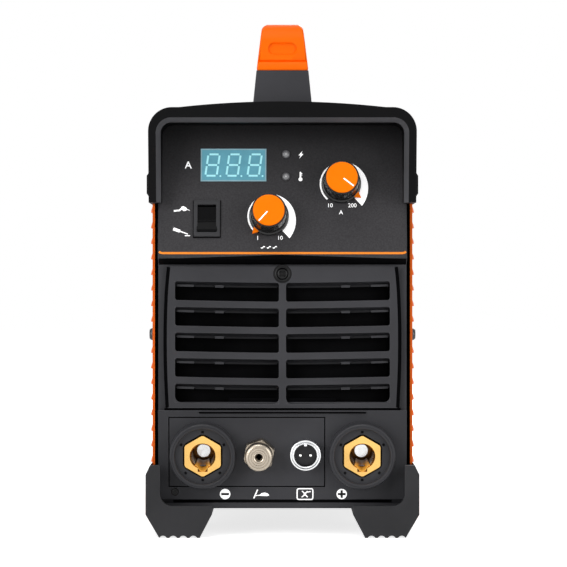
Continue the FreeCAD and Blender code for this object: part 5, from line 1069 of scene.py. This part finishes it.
machined, machined_dial, machined_out, machined_place = effect(
    "machined", {"Lines": 900.0}, ["Height", "Gloss", "Shade"])
machined_pull = wired(machined, "ShaderNodeMapping", {"Vector": machined_place,
                                                      "Scale": (1.0, 14.0, 1.0)}).outputs["Vector"]
for label, mask in (("Height", cloud(machined, machined_pull, machined_dial["Lines"], 2.0)),
                    ("Gloss", cloud(machined, machined_place, 160.0, 4.0)),
                    ("Shade", cloud(machined, machined_place, 60.0, 2.0))):
    machined.links.new(mask, machined_out[label])


def metal(name, code, rough, lines=900.0, strength=0.2, spread=0.12):
    """Bare or plated metal: fine tool lines, blotchy gloss and a little tarnish."""
    return finish_of(name, code, machined, {"Lines": lines},
                     (max(0.04, rough - 0.06), rough + 0.08), spread, (strength, LINES_DEEP),
                     Metallic=1.0)


def key_reach(turn, bore, deep, half):
    """Reach of a bore with a keyway at its bottom."""
    off = abs((turn + math.pi / 2 + math.pi) % (2 * math.pi) - math.pi)
    edge = half / max(math.sin(off), 1e-6) if off < math.pi / 2 else 0.0
    return max(bore, min(deep / max(math.cos(off), 0.2), edge)) if edge else bore


def contact_wall(turn, radius, height):
    """Rows marked by their radius: hexagon outside, keyed bore inside."""
    if radius > 10.0:
        return hexagon_reach(turn, radius, 11.75 + (radius - BAR_FLAT))
    bore, deep = {MOUTH: (7.35, 1.6), BORE: (6.55, 1.75)}[radius]
    return key_reach(turn, bore, bore + deep, KEY_HALF)


def key_floor(turn, height):
    """The floor of the bore and of its keyway, which opens towards the mouth, in a paler brass of
    painted light.
    """
    off, flare = abs(math.degrees(turn) - 270), (height + 9.0) / 15.7
    reach = 5.2 + 1.7 * flare
    if off < FLARE_HALF:
        reach += 2.1 * flare * math.cos(math.radians(90 * off / FLARE_HALF))
    return reach * math.cos(turn), reach * math.sin(turn), height


socket_nylon = moulded("socket_nylon", "343437", 0.36, 2200.0, 0.3, shine=0.18)
lug_shade_black = moulded("lug_shade_black", "060607", 0.6, shine=0.05)
brass = metal("brass", "e0b368", 0.24)
# A darker copy of the brass in the bore is painted shade, and a paler non-metal copy on the keyway
# floor is painted light.
bore_shade_brass = metal("bore_shade_brass", "4d3115", 0.3)
brass_painted_light = moulded("brass_painted_light", "e9a83e", 0.35, shine=0.3)
for which, across in (("negative", -1), ("positive", 1)):
    place = facing((0.0454 * across, -0.176603, 0.046597), lower_out)
    cup = lathe([(12.2, -6.0), (12.4, 5.2), (12.5, 6.0), (15.6, 6.0), (15.85, 6.3), (15.95, 8.9),
                 (16.25, 9.3), (17.15, 9.42), (17.25, 9.2), (17.4, 9.2), (17.5, 9.35),
                 (18.1, 9.3), (18.6, 8.9), (18.8, 8.2), (18.8, -0.4), (13.0, -0.4), (13.0, -20.0),
                 (11.0, -20.0), (11.0, -6.0), (12.2, -6.0)], 144,
                lambda turn, radius, height: hexagon_reach(turn, radius - 1.25, 12.3)
                if height > -7 and 11.5 < radius < 12.6 else radius)
    piece_of(which + "_cup", cup, socket_nylon, [which + "_socket_body"],
             place=place, smooth=28.0)
    # The small lugs in the cup are black: painted shade, standing for dark notches in its rim.
    lugs = bmesh.new()
    for turn in (0, 62, 135, 180, 225, 298):
        plate(lugs, [clock(turn + x, reach) for x, reach in corners(-3, 13.1, 3, 14.4)], 5.9, 6.35)
    piece_of(which + "_cup_lugs", lugs, lug_shade_black, place=place, edge=0.0001,
             steps=1)
    contact = lathe([(10.3, 6.95), (BAR_FLAT, 6.7), (BAR_FLAT, -5.0), (BAR_FLAT, -12.0),
                     (BORE, -12.0), (BORE, 5.6), (MOUTH, 6.75), (MOUTH, 6.95), (10.3, 6.95)], 144,
                    contact_wall)
    piece_of(which + "_contact", contact, brass, [which + "_socket_contact"],
             place=place, smooth=25.0)
    back = lathe([(9.5, -12.0), (9.5, -20.0), (0, -20.0), (0, -14.5), (5.6, -14.5), (6.1, -11.0),
                  (6.5, 1.6), (6.56, 1.6), (6.9, -12.0), (9.5, -12.0)], 72,
                 lambda turn, radius, height: radius if height < -11 or math.sin(turn) > -0.72
                 else min(radius, 6.9))
    piece_of(which + "_contact_back", back, bore_shade_brass, place=place)
    trough = bmesh.new()
    patch(trough, [math.radians(turn) for turn in range(230, 311, 4)], [-9.0, 0.0, 4.0, 6.0, 6.7],
          key_floor)
    piece_of(which + "_key_floor", trough, brass_painted_light, place=place,
             thick=0.0004, smooth=60.0)

# ------------------------------------------------------------------------------------------------
# Gas outlet.  A quick connector turned from nickel-plated hexagon bar: the round nose has fine
# grooves cut in its face round a small bore.
# ------------------------------------------------------------------------------------------------

nickel = metal("nickel", "a99f91", 0.3, 1400.0, 0.4)
gas_place = facing((-0.0134, -0.176603, 0.0469), lower_out, 10.4)
nose = [(1.7, 4.0), (1.7, 12.6), (2.1, 13.0), (2.3, 13.6), (2.7, 13.8), (3.1, 13.7), (3.3, 14.1),
        (4.1, 14.2), (4.25, 13.9), (4.5, 13.9), (4.65, 14.35), (5.5, 14.45), (5.65, 14.15),
        (5.9, 14.15), (6.05, 14.5), (6.6, 14.4), (7.3, 14.0), (7.8, 13.3), (7.95, 12.4),
        (7.95, 7.1), (1.7, 7.1), (1.7, 4.0)]
piece_of("gas_nose", lathe(nose, 96), nickel, ["gas_outlet"], place=gas_place,
         smooth=30.0)
hexagon_bar = lathe([(4.8, 0.2), (4.8, -12.0), (1.7, -12.0), (1.7, 7.1), (7.3, 7.1), (8.02, 7.05),
                     (8.2, 6.3), (8.2, 0.2), (4.8, 0.2)], 144,
                    lambda turn, radius, height: radius if radius <= 8.0
                    else hexagon_reach(turn, radius, 9.2 if radius > 8.1 else 8.6))
piece_of("gas_hexagon", hexagon_bar, nickel, place=gas_place, smooth=25.0)

# ------------------------------------------------------------------------------------------------
# Control socket.  A two-pin aviation socket: its flange ring and inner rim are turned in one and
# chromed.  The black moulded insert is notched for the chromed key and carries two silvered pins.
# ------------------------------------------------------------------------------------------------

KEY_WIDE, KEY_LEVEL = 1.0, 5.0


def keyed(turn, radius, height):
    """The insert's edge steps in at the top for the plug's key."""
    off = abs((turn - math.pi / 2 + math.pi) % (2 * math.pi) - math.pi)
    if radius < 5.4 or off > 0.6 or math.sin(off) * radius > KEY_WIDE:
        return radius
    return KEY_LEVEL / max(math.cos(off), 0.5)


chrome = metal("chrome", "e6e7e8", 0.1, 500.0, 0.08, 0.05)
insert_black = moulded("insert_black", "161618", 0.34, 1500.0, 0.1, shine=0.25)
pin_silver = metal("pin_silver", "d9d9d6", 0.16, 500.0, 0.05, 0.04)
control_place = facing((0.0131, -0.176641, 0.0473), lower_out)
shell = lathe([(6.4, -8.0), (6.4, 8.5), (6.5, 8.9), (6.75, 9.1), (7.1, 9.05), (7.3, 8.7),
               (7.35, 6.4), (7.7, 6.4), (7.75, 8.0), (7.95, 8.35), (8.3, 8.45), (8.65, 8.3),
               (8.85, 7.8), (8.85, 0.1), (7.6, 0.1), (7.6, -8.0), (6.4, -8.0)], 96)
piece_of("control_shell", shell, chrome, ["control_socket_shell"],
         place=control_place, smooth=40.0)
piece_of("control_key", slab(corners(-0.85, 5.2, 0.85, 6.55), 2.0, 8.0), chrome,
         place=control_place, edge=0.0002)
insert = lathe([(0, -7.0), (6.38, -7.0), (6.38, 5.0), (6.1, 5.5), (5.8, 5.6), (0, 5.6)], 144, keyed)
piece_of("control_insert", insert, insert_black, ["control_socket_insert"],
         place=control_place, smooth=25.0)
for name, side, nodes in (("left", -1, ["control_socket_pins"]), ("right", 1, ())):
    pin = lathe([(0, -5.0), (0.85, -5.0), (0.85, 7.4), (0.7, 7.9), (0.4, 8.1), (0, 8.15)], 32)
    piece_of("control_pin_" + name, pin, pin_silver, nodes,
             place=control_place @ Matrix.Translation((2.9 * side, -0.1, 0)))

# ------------------------------------------------------------------------------------------------
# Socket symbols.  Ink is screen-printed on the front frame under the sockets: a minus and a plus in
# dark ink on white discs, and between them a torch and a remote control in white.
# ------------------------------------------------------------------------------------------------

SYMBOL, SIGN, MINUS_X, PLUS_X, SIGN_HALF = (-0.1, 0.05), (0.0, 0.12), -32.8, 33.9, 2.2

sill_spot, sill_out = skin_at("front_frame", PLUS_X, 23.7)
sill = facing((0.0, sill_spot.y, sill_spot.z), sill_out)
symbols, signs = bmesh.new(), bmesh.new()
remote = [clock(turn, 0.9, 12.9 + 3.6 * x, 2.2 * y)
          for x, y, start in ((1, 1, 0), (1, -1, 90), (-1, -1, 180), (-1, 1, 270))
          for turn in (start, start + 45, start + 90)][::-1]
symbol(symbols, (0, 0), [
    *([clock(-360 * step / 40, 3.0, x, 0) for step in range(40)] for x in (MINUS_X, PLUS_X)),
    [(-13.5, -1.0), (-8.7, -1.2), (-7.5, -0.7), (-8.5, 0.4), (-10.1, 0.9), (-12.1, 0.5)]], [
    ([(-16.4, -2.5), (-14.2, 2.6)], 0.75), ([(-15.4, -0.9), (-12.5, -0.6)], 0.5)], SYMBOL)
stroke(symbols, remote, 0.65, *SYMBOL, True)
symbol(symbols, (0, 0), [], [
    ([(11.2, 1.8), (12.4, 0.7), (12.5, -0.6), (11.0, -1.8)], 0.65),
    ([(14.4, 1.7), (13.2, 0.5), (13.1, -0.5), (14.5, -1.8)], 0.65),
    ([(14.2, 1.1), (16.2, 1.5)], 0.6)], SYMBOL)
piece_of("socket_symbols", symbols, white_ink_glowing, place=sill)
across_line = [(-SIGN_HALF, 0), (SIGN_HALF, 0)]
symbol(signs, (MINUS_X, 0), [], [(across_line, 1.3)], SIGN)
symbol(signs, (PLUS_X, 0), [], [(across_line, 1.3),
                                ([(0, -SIGN_HALF), (0, SIGN_HALF)], 1.3)], SIGN)
piece_of("socket_signs", signs, ink("dark_ink", "0c0c0d"), place=sill)

# ------------------------------------------------------------------------------------------------
# Screws.  Pan-head machine screws in blackened steel, each with a cross recess punched in its head.
# They hold the cover to the frames, and the fan, the handle, the feet and the grille door.
# ------------------------------------------------------------------------------------------------

ARM_TIP, ARM_FOOT = 0.5, 0.6


def separate(node):
    """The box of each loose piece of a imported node."""
    shape = bmesh.new()
    shape.from_mesh(frame["nodes"][node].data)
    bmesh.ops.remove_doubles(shape, verts=shape.verts, dist=1e-6)
    left, boxes = set(shape.verts), []
    while left:
        reached = {left.pop()}
        front = list(reached)
        while front:
            fresh = {edge.other_vert(vert) for vert in front for edge in vert.link_edges}
            front = list(fresh - reached)
            reached |= fresh
        left -= reached
        boxes.append([Vector([choose(v.co[axis] for v in reached) for axis in range(3)])
                      for choose in (min, max)])
    shape.free()
    return sorted(boxes, key=lambda box: tuple(round(at, 5) for at in box[0]))


def cross_cut(wide):
    """A cross recess and a domed head for rows marked by their radius."""
    def wall(part, radius, height):
        if radius not in (ARM_TIP, ARM_FOOT):
            return radius
        arm = 0.11 if radius == ARM_TIP else 0.17
        off = abs(part - 0.5) * math.pi / 2
        return min(radius * wide, arm * wide / max(math.sin(off), 1e-6))
    return wall


def screws(name, node, outward, finish, rise=2.0, mirrored=False):
    """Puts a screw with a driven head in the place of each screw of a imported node."""
    axis = max(range(3), key=lambda which: abs(outward[which]))
    for count, (low, high) in enumerate(separate(node)):
        centre, reach = (low + high) / 2, high - low
        way = Vector(outward) * (math.copysign(1.0, centre[axis]) if mirrored else 1.0)
        wide = max(reach[which] for which in range(3) if which != axis) * 500
        long = reach[axis] * 1000
        rows = [(0, -rise * 0.75), (ARM_TIP, -rise * 0.7), (ARM_FOOT, -0.06), (wide * 0.72, -0.1),
                (wide * 0.86, -rise * 0.24), (wide * 0.96, -rise * 0.55), (wide, -rise * 0.82),
                (wide, -rise), (wide * 0.5, -rise), (wide * 0.5, 0.6 - long), (0, -long)]
        piece_of(f"{name}_{count + 1}", around(rows, 4, 16, finish, cross_cut(wide)), finish,
                 [node] if count == 0 else (), smooth=35.0,
                 place=facing(centre + way * reach[axis] / 2, way))


screw_black = metal("screw_black", "464648", 0.34)
screws("cover_screw", "cover_screws", (1, 0, 0), screw_black, mirrored=True)
screws("fan_screw", "fan_screws", (0, 1, 0), screw_black)
screws("handle_screw", "handle_screws", (0, 0, -1), screw_black)
screws("foot_screw", "foot_screws", (0, 0, -1), screw_black, 2.6)
screws("grille_screw", "grille_screw", (0, -1, 0), corner_black, 1.4)

# ------------------------------------------------------------------------------------------------
# Rear wall.  An axial fan blows out through a slotted guard held by its four screws.  Over it
# are the gland for the mains lead, the barbed gas inlet and the mains switch.
# ------------------------------------------------------------------------------------------------

FAN_BLADES, HUB, TIP, BLADE_PITCH = 7, 20.0, 55.9, math.radians(38)
BLADE_LOW, BLADE_HIGH, CAMBER = -10.9, 3.6, 2.4

fan_black = moulded("fan_black", "1a1a1c", 0.4, 1400.0, 0.25, shine=0.2)
switch_gloss = moulded("switch_gloss", "0a0a0b", 0.3, 900.0, 0.05, shine=0.22)
for node, finish, slot, edge, steps, body in (
        ("fan_frame", fan_black, "fan_plastic", 0.0005, 2, "case"),
        ("fan_guard", case_plastic, "case_plastic", 0.0006, 3, "case"),
        ("cable_gland", socket_nylon, "socket_black", 0.0004, 2, "case"),
        ("gas_inlet", brass, "contact_brass", 0.0003, 2, "case"),
        ("mains_switch_body", bezel_grey, "switch_black", 0.0005, 3, "case"),
        ("mains_switch_rocker", switch_gloss, "switch_black", 0.0005, 3, "mains_rocker")):
    dressed(node, finish, edge, steps, body)
for which, height, path in (("on", 202.5, [(0, -1.9), (0, 1.9)]),
                            ("off", 189.5, [clock(-turn, 1.8) for turn in range(0, 360, 15)])):
    piece_of("mains_" + which, ribbon(path, 0.7, -0.05, 0.08, which == "off"), white_ink_glowing,
             (), "mains_rocker",
             facing(*skin_at("mains_switch_rocker", -38.0, height, 0.4, -1.0)))


def blade_spot(along, outward):
    """A cambered blade that leans forward towards its tip."""
    radius = HUB - 1.0 + outward * (TIP - HUB + 1.0)
    chord = 21.5 + 4.5 * outward - 5.0 * max(0.0, outward - 0.85) / 0.15
    off, bulge = (along - 0.5) * chord, CAMBER * (1 - (2 * along - 1) ** 2)
    around_by = off * math.cos(BLADE_PITCH) - bulge * math.sin(BLADE_PITCH) + 5.0 * outward ** 2
    turn = around_by / radius
    rise = -3.5 + off * math.sin(BLADE_PITCH) + bulge * math.cos(BLADE_PITCH)
    return (radius * math.cos(turn), radius * math.sin(turn),
            max(BLADE_LOW, min(BLADE_HIGH, rise)))


fan_place = facing(joints["fan_spin"]["pos_m"], (0, 1, 0))
hub = lathe([(0, -12.4), (17.2, -12.4), (18.6, -12.1), (19.6, -11.3), (20.0, -10.0), (20.0, 5.2),
             (19.7, 5.5), (1.5, 5.5), (1.5, 10.9), (0, 10.9)], 84)
blade = bmesh.new()
patch(blade, [line / 10 for line in range(11)], [line / 9 for line in range(10)], blade_spot)
blades = grown(blade, ring_of, {"Count": FAN_BLADES, "Finish": fan_black})
piece_of("fan_hub", hub, fan_black, ["fan_rotor"], "fan", fan_place)
piece_of("fan_blades", blades, fan_black, (), "fan", fan_place, thick=0.0016,
         smooth=40.0)

# ------------------------------------------------------------------------------------------------
# Inside.  Heat sinks, storage capacitors, power transformer, output choke and the gas valve sit
# behind the grille, on and under two glass-fibre boards.
# ------------------------------------------------------------------------------------------------

WIRE, TURNS = 0.55, 34

aluminium = metal("aluminium", "d3d3d4", 0.34)
zinc_plate = metal("zinc_plate", "dcdedf", 0.22)
board_mask = moulded("board_mask", "1d5b38", 0.3, 500.0, 0.2, shine=0.4)
sleeve = moulded("sleeve", "24262e", 0.22, 300.0, 0.1, shine=0.4)
ferrite = moulded("ferrite", "3b3835", 0.6, 900.0, 0.6)
enamel = metal("enamel", "a4522a", 0.22, 300.0, 0.05)
for node, finish, slot, edge, steps in (
        ("heat_sinks", aluminium, "bare_aluminium", 0.0003, 1),
        ("power_board", board_mask, "board_green", 0.0002, 1),
        ("control_board", board_mask, "board_green", 0.0002, 1),
        ("board_posts", aluminium, "bare_aluminium", 0.0002, 1),
        ("gas_valve", brass, "contact_brass", 0.0006, 2),
        ("gas_hose", moulded("hose_black", "202021", 0.45), "hose_rubber", 0.0003, 1),
        ("main_transformer", ferrite, "core_ferrite", 0.0008, 2),
        ("output_choke", ferrite, "core_ferrite", 0.001, 2)):
    dressed(node, finish, edge, steps)

for count, (low, high) in enumerate(separate("capacitors")):
    middle, radius, tall = (low + high) / 2, (high.x - low.x) * 500, (high.z - low.z) * 1000
    can = lathe([(0, 0), (radius - 0.8, 0), (radius - 0.1, 0.8), (radius, 1.6),
                 (radius, tall - 5.4), (radius - 0.25, tall - 5.0), (radius - 1.0, tall - 4.2),
                 (radius - 1.0, tall - 3.2), (radius - 0.2, tall - 2.4), (radius - 0.1, tall - 0.9),
                 (radius - 0.7, tall), (radius - 2.6, tall - 0.1), (radius - 3.0, tall - 0.5),
                 (0, tall - 0.5)])
    piece_of(f"capacitor_{count + 1}", can, sleeve,
             ["capacitors"] if count == 0 else (),
             place=facing((middle.x, middle.y, low.z), (0, 0, 1)))

choke_low, choke_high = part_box("output_choke")
choke_middle = (choke_low + choke_high) / 2
loop = [(20.4, 0.6), (20.4, 29.4), (19.4, 30.5), (8.6, 30.5), (7.6, 29.4), (7.6, 0.6),
        (8.6, -0.5), (19.4, -0.5)]
wire = bmesh.new()
wire_rings = [[wire.verts.new((radius + WIRE * math.cos(turn) * (1 if radius > 14 else -1),
                               WIRE * math.sin(turn),
                               height + 0.5 * math.cos(turn) * (1 if height > 15 else -1)))
               for turn in [math.pi * step / 3 for step in range(6)]] for radius, height in loop]
tube(wire, wire_rings + wire_rings[:1], ends=False)
winding = grown(outward_faces(wire), ring_of, {"Count": TURNS, "Finish": enamel})
piece_of("choke_winding", winding, enamel, smooth=60.0,
         place=facing((choke_middle.x, choke_middle.y, choke_low.z), (0, 0, 1)))
for finish, nodes in (
        (socket_nylon, ("display_module",)), (aluminium, ("current_shaft", "postflow_shaft")),
        (zinc_plate, ("current_pot", "postflow_pot", "board_screws", "negative_socket_bolt",
                      "positive_socket_bolt"))):
    for node in nodes:
        slots = frame["nodes"][node].data.materials
        slots.clear()
        slots.append(finish)
